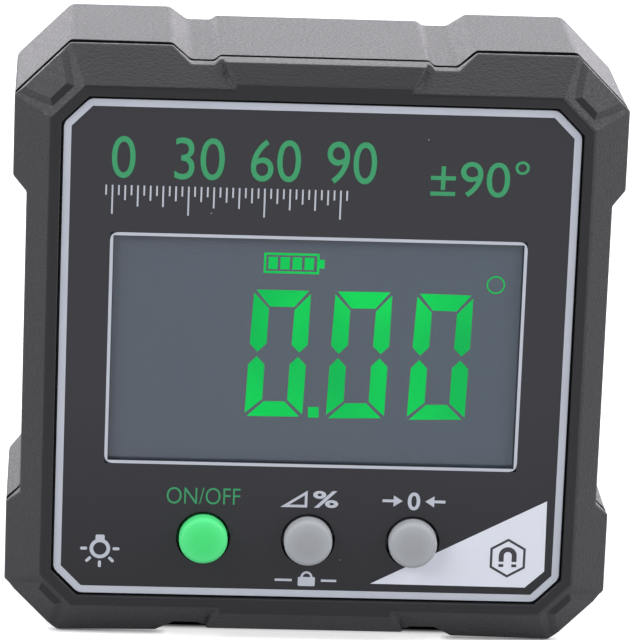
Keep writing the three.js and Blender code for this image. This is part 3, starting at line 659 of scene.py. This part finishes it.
# Even green light that drifts a little in brightness, as a panel lit from one side does.
lit_green, tree = new_material("Backlit green figures")
place = add(tree, "TexCoord", {}, {}).outputs["Object"]
unevenness = add(tree, "TexNoise", {}, {"Vector": place, "Scale": 1 / mm(11), "Detail": 1.0})
share = add(tree, "MapRange", {},
            {0: unevenness.outputs[0], 1: NOISE_LOW, 2: NOISE_HIGH, 3: 0.0, 4: 1.0})
colour = add(tree, "Mix", {"data_type": "RGBA"},
             {0: share.outputs[0], 6: linear("#006a2c"), 7: linear("#008638")})
glow = add(tree, "Mix", {"data_type": "RGBA"},
           {0: share.outputs[0], 6: linear("#00be56"), 7: linear("#00e256")})
shader = add(tree, "BsdfPrincipled", {},
             {"Base Color": colour.outputs[2], "Roughness": 0.35, "Emission Color": glow.outputs[2],
              "Emission Strength": FIGURE_GLOW, "Specular IOR Level": 0.05})
add(tree, "OutputMaterial", {}, {"Surface": shader.outputs[0]})
figures = [[[(x, z + FIGURE_RAISE) for x, z in loop] for loop in loops] for loops in figures]
printed("display_figures", figures, FILM_BACK - FILM_THICK, FILM_THICK, lit_green, "display_glass")


# What holds and lights the display: a white ABS frame, an acrylic light panel with a lamp in its
# side, and two striped rubber strips that carry the board's contacts to the glass.

ZEBRA_PITCH = 0.3

# Milky and smooth, with a soft gloss.
white_abs = finish("White ABS, polished tool", "#e2e4e4", "#e9ebea", 8, 0.3, 0.004, 0.35, 0.45,
                   {"IOR": 1.5})
# Frosted, a little cooler, and slightly see-through at the edges.
light_acrylic = finish("Frosted acrylic light panel", "#e8ecec", "#f2f4f3", 5, 0.25, 0.012,
                       0.5, 0.65, {"IOR": 1.49, "Transmission Weight": 0.25})
# Clear yellowish resin over the chip.
lamp_resin = finish("Cast lamp resin", "#e9e6cd", "#f3f1de", 1, 0.2, 0.003, 0.12, 0.25,
                    {"IOR": 1.53, "Transmission Weight": 0.4})
dress("lcd_frame", white_abs, 0.15)
dress("backlight_panel", light_acrylic, 0.15)
dress("backlight_led", lamp_resin, 0.12)

# Black and white layers across the strip; the real pitch of 0.1 mm is drawn at 0.3 mm to show.
zebra_rubber, tree = new_material("Layered contact rubber")
place = add(tree, "TexCoord", {}, {}).outputs["Object"]
layers = add(tree, "TexWave", {"bands_direction": "X", "wave_profile": "SIN"},
             {"Vector": place, "Scale": math.pi / mm(ZEBRA_PITCH) / 10})
sharp = add(tree, "MapRange", {}, {0: layers.outputs[1], 1: 0.4, 2: 0.6, 3: 0.0, 4: 1.0})
colour = add(tree, "Mix", {"data_type": "RGBA"},
             {0: sharp.outputs[0], 6: linear("#1c1c1e"), 7: linear("#d5d6d8")})
bump = add(tree, "Bump", {}, {"Height": sharp.outputs[0], "Distance": mm(0.01), "Strength": 1.0})
shader = add(tree, "BsdfPrincipled", {},
             {"Base Color": colour.outputs[2], "Roughness": 0.7, "IOR": 1.41,
              "Normal": bump.outputs[0]})
add(tree, "OutputMaterial", {}, {"Surface": shader.outputs[0]})
dress("zebra_strip_upper", zebra_rubber, 0.08)
dress("zebra_strip_lower", zebra_rubber, 0.08)


# The face film: polyester, printed dark grey and stuck into the recess of the front shell, with
# holes for the keys and an opening for the window. Its top coat is a fine satin.

FILM_DEPTH = 0.4
INK_THICK = 0.02
SHADE_FROM = 4
SHADE_TO = 26

# A soft satin sheen on the dark grey, which is darker towards the bottom of the face and
# lighter towards the top as painted shade, with a few settled specks of dust.
face_film, tree = new_material("Dark grey polyester film, satin")
place = add(tree, "TexCoord", {}, {}).outputs["Object"]
parts = add(tree, "SeparateXYZ", {}, {0: place})
# Painted shade: the grey goes from dark at the bottom to lighter at the top.
height = add(tree, "MapRange", {},
             {0: parts.outputs[2], 1: mm(SHADE_FROM), 2: mm(SHADE_TO), 3: 0.0, 4: 1.0})
shade = add(tree, "Mix", {"data_type": "RGBA"},
            {0: height.outputs[0], 6: linear("#1b1b1f"), 7: linear("#2a2a2f")})
specks = add(tree, "TexVoronoi", {}, {"Vector": place, "Scale": 1 / mm(3.2)})
dust = add(tree, "MapRange", {}, {0: specks.outputs[0], 1: 0.012, 2: 0.03, 3: 1.0, 4: 0.0})
colour = add(tree, "Mix", {"data_type": "RGBA"},
             {0: dust.outputs[0], 6: shade.outputs[2], 7: linear("#8d8c92")})
shader = add(tree, "BsdfPrincipled", {},
             {"Base Color": colour.outputs[2], "IOR": 1.5, "Specular IOR Level": 0.25,
              **grained(tree, place, 0.15, 0.002, 0.38, 0.48)})
add(tree, "OutputMaterial", {}, {"Surface": shader.outputs[0]})
dress("front_overlay", face_film)


# The inks on the film, screen printed in two colours: a pale silver with fine flake for the
# border, the scale and the signs, and a green for the numerals. Each layer is a few hundredths
# of a millimetre thick.

BORDER_INSET = 4.86
BORDER_WIDTH = 0.72
BORDER_CORNER = 0.5
CORNER_STEPS = 6
WEDGE = [(6.37, -23.61), (21.79, -23.67), (23.67, -21.94), (23.6, -14.61)]
SCALE_LEFT = -20.3
SCALE_TOP = 16.6
SCALE_PITCH = 0.6167
SCALE_LINE = 0.16
SCALE_LENGTHS = {12: 2.9, 4: 2.1, 2: 1.5, 1: 1.0}
SCALE_TICKS = 39
NUMERAL_SPANS = [(-20.45, -18.15), (-14.35, -9.5), (-6.95, -2.1), (0.45, 5.3)]
LAMP_PLACE = (-20.59, -20.54)
LAMP_RADII = (1.02, 0.66)
LAMP_FOOT = [(0.45, 1.3), (0.41, 1.4), (0.31, 1.44), (-0.31, 1.44), (-0.41, 1.4), (-0.45, 1.3)]
LAMP_FOOT_GAP = 0.005
LAMP_RAY = (1.26, 1.94)
LAMP_RAY_LINE = 0.3
LAMP_RAY_CORNER = 0.14
SLOPE_SIGN = [(-2.85, -15.8), (-0.2, -15.8), (-0.2, -14.05)]
SLOPE_LINE = 0.26
ZERO_MIDDLE = 10.37
ARROW = [(3.12, -15.06), (2.02, -15.06), (2.02, -15.5), (1.12, -14.92), (2.02, -14.35),
         (2.02, -14.78), (3.12, -14.78)]
PADLOCK = [(-0.85, -24.0), (0.85, -24.0), (0.85, -23.05), (-0.85, -23.05)]
PADLOCK_CORNER = 0.15
SHACKLE_RADIUS = 0.48
SHACKLE_LINE = 0.22
HOLD_BARS = [(-3.15, -1.45), (1.45, 2.98)]
HOLD_BAR_Z = -23.4
HOLD_BAR_LINE = 0.24
SHIELD_PLACE = (19.96, -20.62)
SHIELD_RADIUS = 2.04
SHIELD_LINE = 0.24
MAGNET_RISE = 0.25
MAGNET_RADIUS = 0.645
MAGNET_LINE = 0.5
MAGNET_LEGS = [(MAGNET_RISE, -0.39), (-0.64, -0.94)]

# Light grey with a lilac cast and a metallic glint at flat angles.
silver_ink = finish("Silver screen ink", "#acb0ba", "#b8bcc5", 5, 0.12, 0.004, 0.36, 0.5,
                    {"Metallic": 0.15, "Specular IOR Level": 0.4})
# A shade lighter and plainer than the border.
wedge_ink = finish("Pale silver screen ink", "#cfd2dc", "#d8dae2", 6, 0.12, 0.004, 0.4, 0.5,
                   {"Metallic": 0.1, "Specular IOR Level": 0.4})
# A flat mid green without flake.
green_ink = finish("Green screen ink", "#2f8a57", "#359462", 4, 0.12, 0.003, 0.4, 0.5,
                   {"Specular IOR Level": 0.35})
# The dark lines on the pale corner, and the painted shadow inside the window's line.
dark_ink = finish("Dark grey screen ink", "#2a2a2f", "#302f35", 3, 0.12, 0.003, 0.4, 0.5,
                  {"Specular IOR Level": 0.35})


def octagon(inset):
    """The body's eight-sided outline, drawn in by an inset, counterclockwise from below right."""
    half = BODY_SIDE / 2 - inset
    leg = CORNER_LEG - inset * (2 - math.sqrt(2))
    return [(half - leg, -half), (half, leg - half), (half, half - leg), (half - leg, half),
            (leg - half, half), (-half, half - leg), (-half, leg - half), (leg - half, -half)]


def with_round_corners(points, cut):
    """The same outline with each corner eased over the given length on both sides."""
    eased = []
    count = len(points)
    for i in range(count):
        corner = Vector(points[i])
        start = corner + (Vector(points[i - 1]) - corner).normalized() * cut
        end = corner + (Vector(points[(i + 1) % count]) - corner).normalized() * cut
        for step in range(CORNER_STEPS + 1):
            share = step / CORNER_STEPS
            eased.append(tuple(start.lerp(corner, share).lerp(corner.lerp(end, share), share)))
    return eased


def bar(start, end, width):
    """A straight stroke with square ends."""
    along = (Vector(end) - Vector(start)).normalized()
    side = Vector((-along.y, along.x)) * width / 2
    return [tuple(Vector(start) - side), tuple(Vector(end) - side),
            tuple(Vector(end) + side), tuple(Vector(start) + side)]


def arch(x, z, radius, width):
    """A curved stroke over a centre, half a turn long."""
    outer, inner = (arc(x, z, radius + side * width / 2, 0, 180, 20) for side in (1, -1))
    return outer + inner[::-1]


def figure(name, words, low_x, high_x, low_z, high_z, weight, material):
    """Printed characters, stretched to fill a box on the film."""
    text = bpy.data.curves.new(name, "FONT")
    text.body = words
    text.offset = weight
    text.resolution_u = 6
    text.extrude = 0.01
    writer = bpy.data.objects.new(name, text)
    mesh = bpy.data.meshes.new_from_object(writer)
    bpy.data.objects.remove(writer)
    lows = [min(v.co[i] for v in mesh.vertices) for i in (0, 1)]
    highs = [max(v.co[i] for v in mesh.vertices) for i in (0, 1)]
    for vertex in mesh.vertices:
        x = low_x + (high_x - low_x) * (vertex.co.x - lows[0]) / (highs[0] - lows[0])
        z = low_z + (high_z - low_z) * (vertex.co.y - lows[1]) / (highs[1] - lows[1])
        vertex.co = at(x, FILM_DEPTH - INK_THICK * (vertex.co.z > 0), z)
    return show(name, mesh, material, "case", "printed_overlay")


border = ring_of(octagon(BORDER_INSET), BORDER_WIDTH)
border[0] = with_round_corners(border[0], BORDER_CORNER)
silver_marks = [border]
for i in range(SCALE_TICKS):
    length = next(SCALE_LENGTHS[step] for step in SCALE_LENGTHS if (i - 1) % step == 0)
    x = SCALE_LEFT + (i - 1) * SCALE_PITCH
    silver_marks.append([bar((x, SCALE_TOP), (x, SCALE_TOP - length), SCALE_LINE)])

lamp_x, lamp_z = LAMP_PLACE
silver_marks.append([circle(lamp_x, lamp_z, radius, RING_SIDES) for radius in LAMP_RADII])
# The foot follows the ring a few microns outside it, so that the two don't overlap.
lamp_foot = arc(0, 0, LAMP_RADII[0] + LAMP_FOOT_GAP, 116, 64, 13) + LAMP_FOOT
silver_marks.append([[(lamp_x + x, lamp_z + z) for x, z in lamp_foot]])
for ray in arc(0, 0, 1, 180, 360, 4):
    stroke = bar(*(Vector(LAMP_PLACE) + Vector(ray) * reach for reach in LAMP_RAY), LAMP_RAY_LINE)
    silver_marks.append([with_round_corners(stroke, LAMP_RAY_CORNER)])

silver_marks.append(ring_of(SLOPE_SIGN, SLOPE_LINE))
silver_marks += [[[(ZERO_MIDDLE + side * x, z) for x, z in ARROW]] for side in (-1, 1)]
silver_marks.append([with_round_corners(PADLOCK, PADLOCK_CORNER)])
silver_marks.append([arch(0, PADLOCK[-1][1], SHACKLE_RADIUS, SHACKLE_LINE)])
silver_marks += [[bar((left, HOLD_BAR_Z), (right, HOLD_BAR_Z), HOLD_BAR_LINE)]
                 for left, right in HOLD_BARS]
printed("silver_print", silver_marks, FILM_DEPTH, INK_THICK, silver_ink, "printed_overlay")
printed("pale_corner", [[WEDGE]], FILM_DEPTH, INK_THICK / 2, wedge_ink, "printed_overlay")

shield_x, shield_z = SHIELD_PLACE
hexagon = arc(shield_x, shield_z, SHIELD_RADIUS, 30, 330, 5)
magnet_sign = [ring_of(hexagon, SHIELD_LINE),
               [arch(shield_x, shield_z + MAGNET_RISE, MAGNET_RADIUS, MAGNET_LINE)]]
for side in (-1, 1):
    leg = shield_x + side * MAGNET_RADIUS
    for top, end in MAGNET_LEGS:
        magnet_sign.append([bar((leg, shield_z + top), (leg, shield_z + end), MAGNET_LINE)])
printed("magnet_sign", magnet_sign, FILM_DEPTH, INK_THICK, dark_ink, "printed_overlay")

for number, (left, right) in enumerate(NUMERAL_SPANS):
    figure(f"scale_figure_{number + 1}", str(number * 30), left, right, 17.3, 21.5, 0.0, green_ink)
figure("range_print", "±90°", 10.6, 20.2, 16.3, 20.0, 0.0, green_ink)
figure("switch_print", "ON/OFF", -14.13, -6.86, -15.7, -14.0, -0.008, green_ink)
figure("slope_print", "%", 0.35, 2.86, -15.8, -14.05, 0.02, silver_ink)
figure("zero_print", "0", 9.75, 10.99, -15.85, -14.0, 0.02, silver_ink)


# The window: clear acrylic, let into the opening of the film, with a silver line printed round
# it and inside that a narrow dark line, painted shadow along the window's edge. It is hard coated
# and mirrors the room.

WINDOW_LINE = 0.31
WINDOW_CORNER = 0.9
WINDOW_OUTER = [(-20.4, -11.64), (20.4, -11.64), (20.4, 11.87), (-20.4, 11.87)]
WINDOW_SHADOW_OUTER = [(-20.09, -11.33), (20.09, -11.33), (20.09, 11.56), (-20.09, 11.56)]
WINDOW_SHADOW_LINE = 0.08

clear_acrylic, tree = new_material("Clear acrylic, hard coated")
place = add(tree, "TexCoord", {}, {}).outputs["Object"]
smear = add(tree, "TexNoise", {}, {"Vector": place, "Scale": 1 / mm(7), "Detail": 2.0})
rough, haze = (add(tree, "MapRange", {},
                   {0: smear.outputs[0], 1: NOISE_LOW, 2: NOISE_HIGH, 3: least, 4: most})
               for least, most in ((0.05, 0.1), (0.03, 0.05)))
shader = add(tree, "BsdfPrincipled", {},
             {"Base Color": linear("#6a7280"), "Roughness": rough.outputs[0], "IOR": 1.49,
              "Alpha": haze.outputs[0]})
add(tree, "OutputMaterial", {}, {"Surface": shader.outputs[0]})
dress("display_window", clear_acrylic, 0.05)

window_line = ring_of(WINDOW_OUTER, WINDOW_LINE)
window_line[0] = with_round_corners(WINDOW_OUTER, WINDOW_CORNER)
printed("window_line", [window_line], FILM_DEPTH, INK_THICK, silver_ink, "printed_overlay")
# A narrow dark line inside the silver one: painted shadow at the window's edge.
printed("window_shadow_line", [ring_of(WINDOW_SHADOW_OUTER, WINDOW_SHADOW_LINE)], FILM_DEPTH, INK_THICK / 2, dark_ink,
        "printed_overlay")


# The keys: three caps of silicone rubber, moulded with a soft rounded rim and a shallow crown,
# green for power and grey for the others. Each has a flange that keeps it behind the face.

KEY_RADIUS = 2.4
KEY_EDGE = 0.55
KEY_CROWN = 0.12
KEY_PROUD = 1
KEY_FLANGE = [(KEY_RADIUS, 2.9), (2.9, 2.9), (2.9, 3.6)]
KEY_STEM = [(1.2, 3.6), (1.2, 4.55), (0, 4.55)]
KEY_SIDES = 64
KEY_PLACES = {"power": -10.4, "hold": 0, "zero": 10.4}
KEY_Z = -19.2


def turned(name, profile, sides, middle, axis):
    """A solid of revolution round an axis through a point; the profile is in mm from that point."""
    along = Vector(axis)
    across = along.orthogonal().normalized()
    beside = along.cross(across)
    shape = bmesh.new()
    rings = []
    for radius, place in profile:
        turns = [2 * math.pi * i / sides for i in range(sides if radius else 1)]
        rings.append([shape.verts.new(middle + along * mm(place) + (
            across * math.cos(t) + beside * math.sin(t)) * mm(radius)) for t in turns])
    for near, far in zip(rings, rings[1:]):
        bridge(shape, near, far)
    return finished(name, shape)


def rubber(name, middle_shade, rim_shade):
    """Silicone rubber that is a shade lighter towards the rim, where light comes through it."""
    material, tree = new_material(name)
    own = add(tree, "TexCoord", {}, {})
    centred = add(tree, "VectorMath", {"operation": "SUBTRACT"},
                  {0: own.outputs["Generated"], 1: (0.5, 0.5, 0.5)})
    parts = add(tree, "SeparateXYZ", {}, {0: centred.outputs[0]})
    flat = add(tree, "CombineXYZ", {}, {0: parts.outputs[0], 2: parts.outputs[2]})
    out = add(tree, "VectorMath", {"operation": "LENGTH"}, {0: flat.outputs[0]})
    rim = add(tree, "MapRange", {"interpolation_type": "SMOOTHSTEP"},
              {0: out.outputs["Value"], 1: 0.12, 2: 0.42, 3: 0.0, 4: 1.0})
    colour = add(tree, "Mix", {"data_type": "RGBA"},
                 {0: rim.outputs[0], 6: linear(middle_shade), 7: linear(rim_shade)})
    shader = add(tree, "BsdfPrincipled", {},
                 {"Base Color": colour.outputs[2], "IOR": 1.41,
                  **grained(tree, own.outputs["Object"], 0.2, 0.004, 0.48, 0.6)})
    add(tree, "OutputMaterial", {}, {"Surface": shader.outputs[0]})
    return material


green_silicone = rubber("Green silicone rubber", "#42da75", "#54e387")
grey_silicone = rubber("Grey silicone rubber", "#97999d", "#a4a6aa")
key_flat = KEY_RADIUS - KEY_EDGE
key_profile = [(0, -KEY_PROUD), (key_flat * 0.4, KEY_CROWN * 0.16 - KEY_PROUD),
               (key_flat * 0.75, KEY_CROWN * 0.56 - KEY_PROUD)]
key_profile += arc(key_flat, KEY_CROWN - KEY_PROUD + KEY_EDGE, KEY_EDGE, -90, 0, 8)
key_profile += KEY_FLANGE + KEY_STEM
for name, x in KEY_PLACES.items():
    mesh = turned(f"{name}_cap", key_profile, KEY_SIDES, at(x, 0, KEY_Z), (0, 1, 0))
    is_power = name == "power"
    show(f"{name}_cap", mesh, green_silicone if is_power else grey_silicone, f"{name}_key",
         "green_rubber" if is_power else "grey_rubber", f"{name}_button")


# Behind the keys: a black rubber mat that centres them, and on the board three tactile switches
# with acetal plungers in black nylon housings.

# Slightly waxy black.
plunger_acetal = finish("Black acetal, moulded", "#19191b", "#1f1f21", 2, 0.15, 0.003, 0.35, 0.45,
                        {"IOR": 1.48})
# Glass-filled nylon, duller, with flow streaks.
switch_nylon = finish("Black glass-filled nylon", "#2b2b2e", "#343437", 1.5, 0.12, 0.006, 0.45, 0.6,
                      {"IOR": 1.53})
dress("key_mat", seal_rubber, 0.15)
for name in KEY_PLACES:
    dress(f"{name}_plunger", plunger_acetal, 0.12)
    dress(f"{name}_switch", switch_nylon, 0.15)


# The circuit board: fibreglass laminate under a green solder mask, with copper tracks that show
# through it as paler lines. It is held by four small screws.

TRACK_PITCH = 2.4
BOARD_SCREW_X = 16.4
BOARD_SCREW_Z = 20
BOARD_SCREW = {"seat": 9.1, "length": 4.6, "shank": 0.8, "head": 1.5, "thick": 1.1}

board_laminate, tree = new_material("Green solder mask on laminate")
place = add(tree, "TexCoord", {}, {}).outputs["Object"]
upright = add(tree, "Mapping", {}, {"Vector": place, "Rotation": (math.pi / 2, 0, 0)})
tracks = add(tree, "TexBrick", {"offset": 0.37, "squash": 1.0},
             {"Vector": upright.outputs[0], "Scale": 1 / mm(TRACK_PITCH), "Mortar Size": 0.05,
              "Mortar Smooth": 0.2, "Brick Width": 2.6, "Row Height": 0.8,
              "Color1": linear("#1a5537"), "Color2": linear("#1e5f3e"),
              "Mortar": linear("#3b8a5c")})
weave = add(tree, "TexNoise", {}, {"Vector": place, "Scale": 1 / mm(0.4), "Detail": 2.0})
rough = add(tree, "MapRange", {},
            {0: weave.outputs[0], 1: NOISE_LOW, 2: NOISE_HIGH, 3: 0.3, 4: 0.42})
bump = add(tree, "Bump", {}, {"Height": tracks.outputs[1], "Distance": mm(0.03), "Strength": 1.0})
shader = add(tree, "BsdfPrincipled", {},
             {"Base Color": tracks.outputs[0], "Roughness": rough.outputs[0], "IOR": 1.52,
              "Normal": bump.outputs[0]})
add(tree, "OutputMaterial", {}, {"Surface": shader.outputs[0]})
dress("circuit_board", board_laminate, 0.08)
for name, (side_x, side_z) in corner_names.items():
    mesh = screw(f"small_screw_{name}", side_x * BOARD_SCREW_X, side_z * BOARD_SCREW_Z,
                 **BOARD_SCREW)
    show(f"small_screw_{name}", mesh, screw_nickel, "case", "screw_steel", f"board_screw_{name}")


# On the board: the controller in black epoxy, the tilt sensor under a stamped lid, and a watch
# crystal in a drawn can. All are reflow soldered.

# Matt black moulding compound.
chip_epoxy = finish("Black epoxy moulding", "#18181a", "#1f1f21", 1.5, 0.1, 0.005, 0.5, 0.65,
                    {"IOR": 1.55})
# Satin metal with faint roll marks.
sensor_lid = finish("Rolled nickel silver lid", "#98999b", "#a6a7a9", 1, 0.1, 0.003, 0.3, 0.42,
                    {"Metallic": 1.0})
# Brighter drawn metal.
crystal_can = finish("Drawn crystal can", "#b3b5b7", "#c3c5c7", 1, 0.1, 0.003, 0.2, 0.32,
                     {"Metallic": 1.0})
dress("controller_chip", chip_epoxy, 0.1)
dress("tilt_sensor", sensor_lid, 0.15)
dress("clock_crystal", crystal_can, 0.3)


# The batteries: two AAA cells that lie opposite ways round. Each is a steel can in a shrunk
# plastic sleeve with a printed band, plus at the nub and minus at the flat end.

CELL_LENGTH = 44.5
CELL_RADIUS = 5.25
SLEEVE_THICK = 0.12
NUB_RADIUS = 1.9
NUB_LENGTH = 0.8
NUB_EDGE = 0.3
CELL_EDGE = 0.5
CELL_SHIFT = 1.525
CELL_DEPTH = 17.05
CELL_RISE = 5.4
CELL_SIDES = 64
MINUS_ALONG = 4
PLUS_ALONG = 38.5
MARK_HALF = 1.2
MARK_LINE = 0.32
MARK_THICK = 0.01
WRAP_STEPS = 8

# Satin metal, a little scratched by handling.
cell_steel = finish("Nickel-plated battery steel", "#b7b8ba", "#c8c9cb", 2, 0.12, 0.003, 0.2, 0.34,
                    {"Metallic": 1.0})
# White ink on the sleeve.
mark_ink = finish("White ink on the sleeve", "#dfe1e2", "#e8e9ea", 2, 0.1, 0.002, 0.4, 0.5, {})


def shrunk_sleeve(name, side, limit):
    """Glossy film in dark green, silver beyond the given share of the cell's length."""
    material, tree = new_material(name)
    own = add(tree, "TexCoord", {}, {})
    parts = add(tree, "SeparateXYZ", {}, {0: own.outputs["Generated"]})
    end = add(tree, "Math", {"operation": side}, {0: parts.outputs[0], 1: limit})
    place = own.outputs["Object"]
    cloud = add(tree, "TexNoise", {}, {"Vector": place, "Scale": 1 / mm(5), "Detail": 2.0})
    body = add(tree, "Mix", {"data_type": "RGBA"},
               {0: cloud.outputs[0], 6: linear("#1f5a40"), 7: linear("#276a4c")})
    colour = add(tree, "Mix", {"data_type": "RGBA"},
                 {0: end.outputs[0], 6: body.outputs[2], 7: linear("#a7abae")})
    ripple = add(tree, "TexNoise", {}, {"Vector": place, "Scale": 1 / mm(1.5), "Detail": 1.0})
    bump = add(tree, "Bump", {},
               {"Height": ripple.outputs[0], "Distance": mm(0.01), "Strength": 1.0})
    shader = add(tree, "BsdfPrincipled", {},
                 {"Base Color": colour.outputs[2], "Roughness": 0.24, "IOR": 1.5,
                  "Normal": bump.outputs[0]})
    add(tree, "OutputMaterial", {}, {"Surface": shader.outputs[0]})
    return material


# The silver band goes round the plus end, which lies to the left on one cell and to the right
# on the other.
sleeves = {"upper": shrunk_sleeve("Shrunk sleeve, plus to the left", "LESS_THAN", 0.22),
           "lower": shrunk_sleeve("Shrunk sleeve, plus to the right", "GREATER_THAN", 0.78)}

shoulder = CELL_LENGTH - NUB_LENGTH
can_radius = CELL_RADIUS - SLEEVE_THICK
can_profile = [(0, 0.25), (3.4, 0.25), (3.7, 0)]
can_profile += arc(can_radius - CELL_EDGE, CELL_EDGE, CELL_EDGE, -90, 0, 6)
can_profile += arc(can_radius - CELL_EDGE, shoulder - CELL_EDGE, CELL_EDGE, 0, 90, 6)
can_profile += [(3.4, shoulder), (3.2, shoulder - NUB_EDGE),
                (NUB_RADIUS + NUB_EDGE, shoulder - NUB_EDGE), (NUB_RADIUS, shoulder)]
can_profile += arc(NUB_RADIUS - NUB_EDGE, CELL_LENGTH - NUB_EDGE, NUB_EDGE, 0, 90, 4)
can_profile.append((0, CELL_LENGTH))
sleeve_end = shoulder - CELL_EDGE
sleeve_profile = [(can_radius, CELL_EDGE), (CELL_RADIUS, CELL_EDGE), (CELL_RADIUS, sleeve_end),
                  (can_radius, sleeve_end), (can_radius, CELL_EDGE)]


def wrapped_bar(shape, start, side, along, half_along, half_turn, radius):
    """A thin printed bar laid on the back of a cell, at a place along it."""
    for i in range(WRAP_STEPS):
        corners = []
        for step in (i, i + 1):
            angle = half_turn * (2 * step / WRAP_STEPS - 1)
            rise = Vector((0, mm(radius) * math.cos(angle), mm(radius) * math.sin(angle)))
            corners.append([start + Vector((side * mm(along + a), 0, 0)) + rise
                            for a in (-half_along, half_along)])
        shape.faces.new([shape.verts.new(point) for point in (*corners[0], *reversed(corners[1]))])


for name, side in {"upper": -1, "lower": 1}.items():
    rise = -side * CELL_RISE
    start = at(side * (CELL_SHIFT - CELL_LENGTH / 2), CELL_DEPTH, rise)
    mesh = turned(f"{name}_cell_can", can_profile, CELL_SIDES, start, (side, 0, 0))
    show(f"{name}_cell_can", mesh, cell_steel, "case", "cell_jacket", f"battery_cell_{name}")
    mesh = turned(f"{name}_cell_sleeve", sleeve_profile, CELL_SIDES, start, (side, 0, 0))
    show(f"{name}_cell_sleeve", mesh, sleeves[name], "case", "cell_jacket")
    shape = bmesh.new()
    reach = MARK_HALF / CELL_RADIUS
    line = MARK_LINE / 2 / CELL_RADIUS
    for along in (MINUS_ALONG, PLUS_ALONG):
        wrapped_bar(shape, start, side, along, MARK_LINE / 2, reach, CELL_RADIUS + MARK_THICK)
    wrapped_bar(shape, start, side, PLUS_ALONG, MARK_HALF, line, CELL_RADIUS + MARK_THICK * 1.5)
    mesh = finished(f"{name}_cell_marks", shape)
    show(f"{name}_cell_marks", mesh, mark_ink, "case", "cell_jacket")


# The battery contacts: conical springs of hard steel wire at the minus ends and stamped plates
# at both, all nickel plated. Their tabs run down to the board.

SPRING_START = -23.85
SPRING_LENGTH = 2.9
SPRING_WIRE = 0.5
SPRING_TURNS = 3
SPRING_STEPS = 40
SPRING_WIDE = 3.6
SPRING_NARROW = 2.2

# Bright, with fine lengthwise drawing marks.
contact_plate = finish("Nickel-plated spring steel", "#adaeb1", "#c1c2c5", 1.5, 0.1, 0.003,
                       0.2, 0.34, {"Metallic": 1.0})
for name, side in {"upper": -1, "lower": 1}.items():
    coil = bpy.data.curves.new(f"{name}_spring", "CURVE")
    coil.dimensions = "3D"
    coil.bevel_depth = mm(SPRING_WIRE / 2)
    coil.bevel_resolution = 3
    coil.use_fill_caps = True
    line = coil.splines.new("POLY")
    steps = SPRING_TURNS * SPRING_STEPS
    line.points.add(steps)
    for i in range(steps + 1):
        share = i / steps
        turn = share * SPRING_TURNS * 2 * math.pi
        radius = SPRING_WIDE + (SPRING_NARROW - SPRING_WIDE) * share
        along = SPRING_START + SPRING_WIRE / 2 + share * (SPRING_LENGTH - SPRING_WIRE)
        place = at(side * along, CELL_DEPTH + side * radius * math.cos(turn),
                   -side * CELL_RISE + radius * math.sin(turn))
        line.points[i].co = (*place, 1)
    show(f"{name}_spring", coil, contact_plate, "case", "contact_steel", f"battery_spring_{name}")
    for end in ("left", "right"):
        dress(f"contact_plate_{name}_{end}", contact_plate, 0.08)


# The battery door: a flat lid of the same black ABS on a rubber seal, let in flush with the
# back and held by two captive screws.

LID_RADII = {"back": 0.3, "inner": 0.12}
LID_SCREW_RISE = 14.45
LID_SCREW = {"seat": 23.6, "length": 6, "shank": 0.9, "head": 1.7, "thick": 0.9}


def lid_radius(edge):
    """The edges of the lid's back are eased, those below it less."""
    on_back = all(depth_of(v.co) > BACK_DEPTH - HAIR for v in edge.verts)
    return LID_RADII["back" if on_back else "inner"]


lid = show("battery_lid_plate", softened("battery_lid_plate", "battery_door", lid_radius), case_abs,
           "battery_lid", "case_plastic", "battery_door")
round_weighted(lid)
dress("door_seal", seal_rubber, 0.12)
for name, side in {"upper": 1, "lower": -1}.items():
    mesh = screw(f"lid_screw_{name}", 0, side * LID_SCREW_RISE, **LID_SCREW)
    show(f"lid_screw_{name}", mesh, screw_nickel, "battery_lid", "screw_steel",
         f"door_screw_{name}")
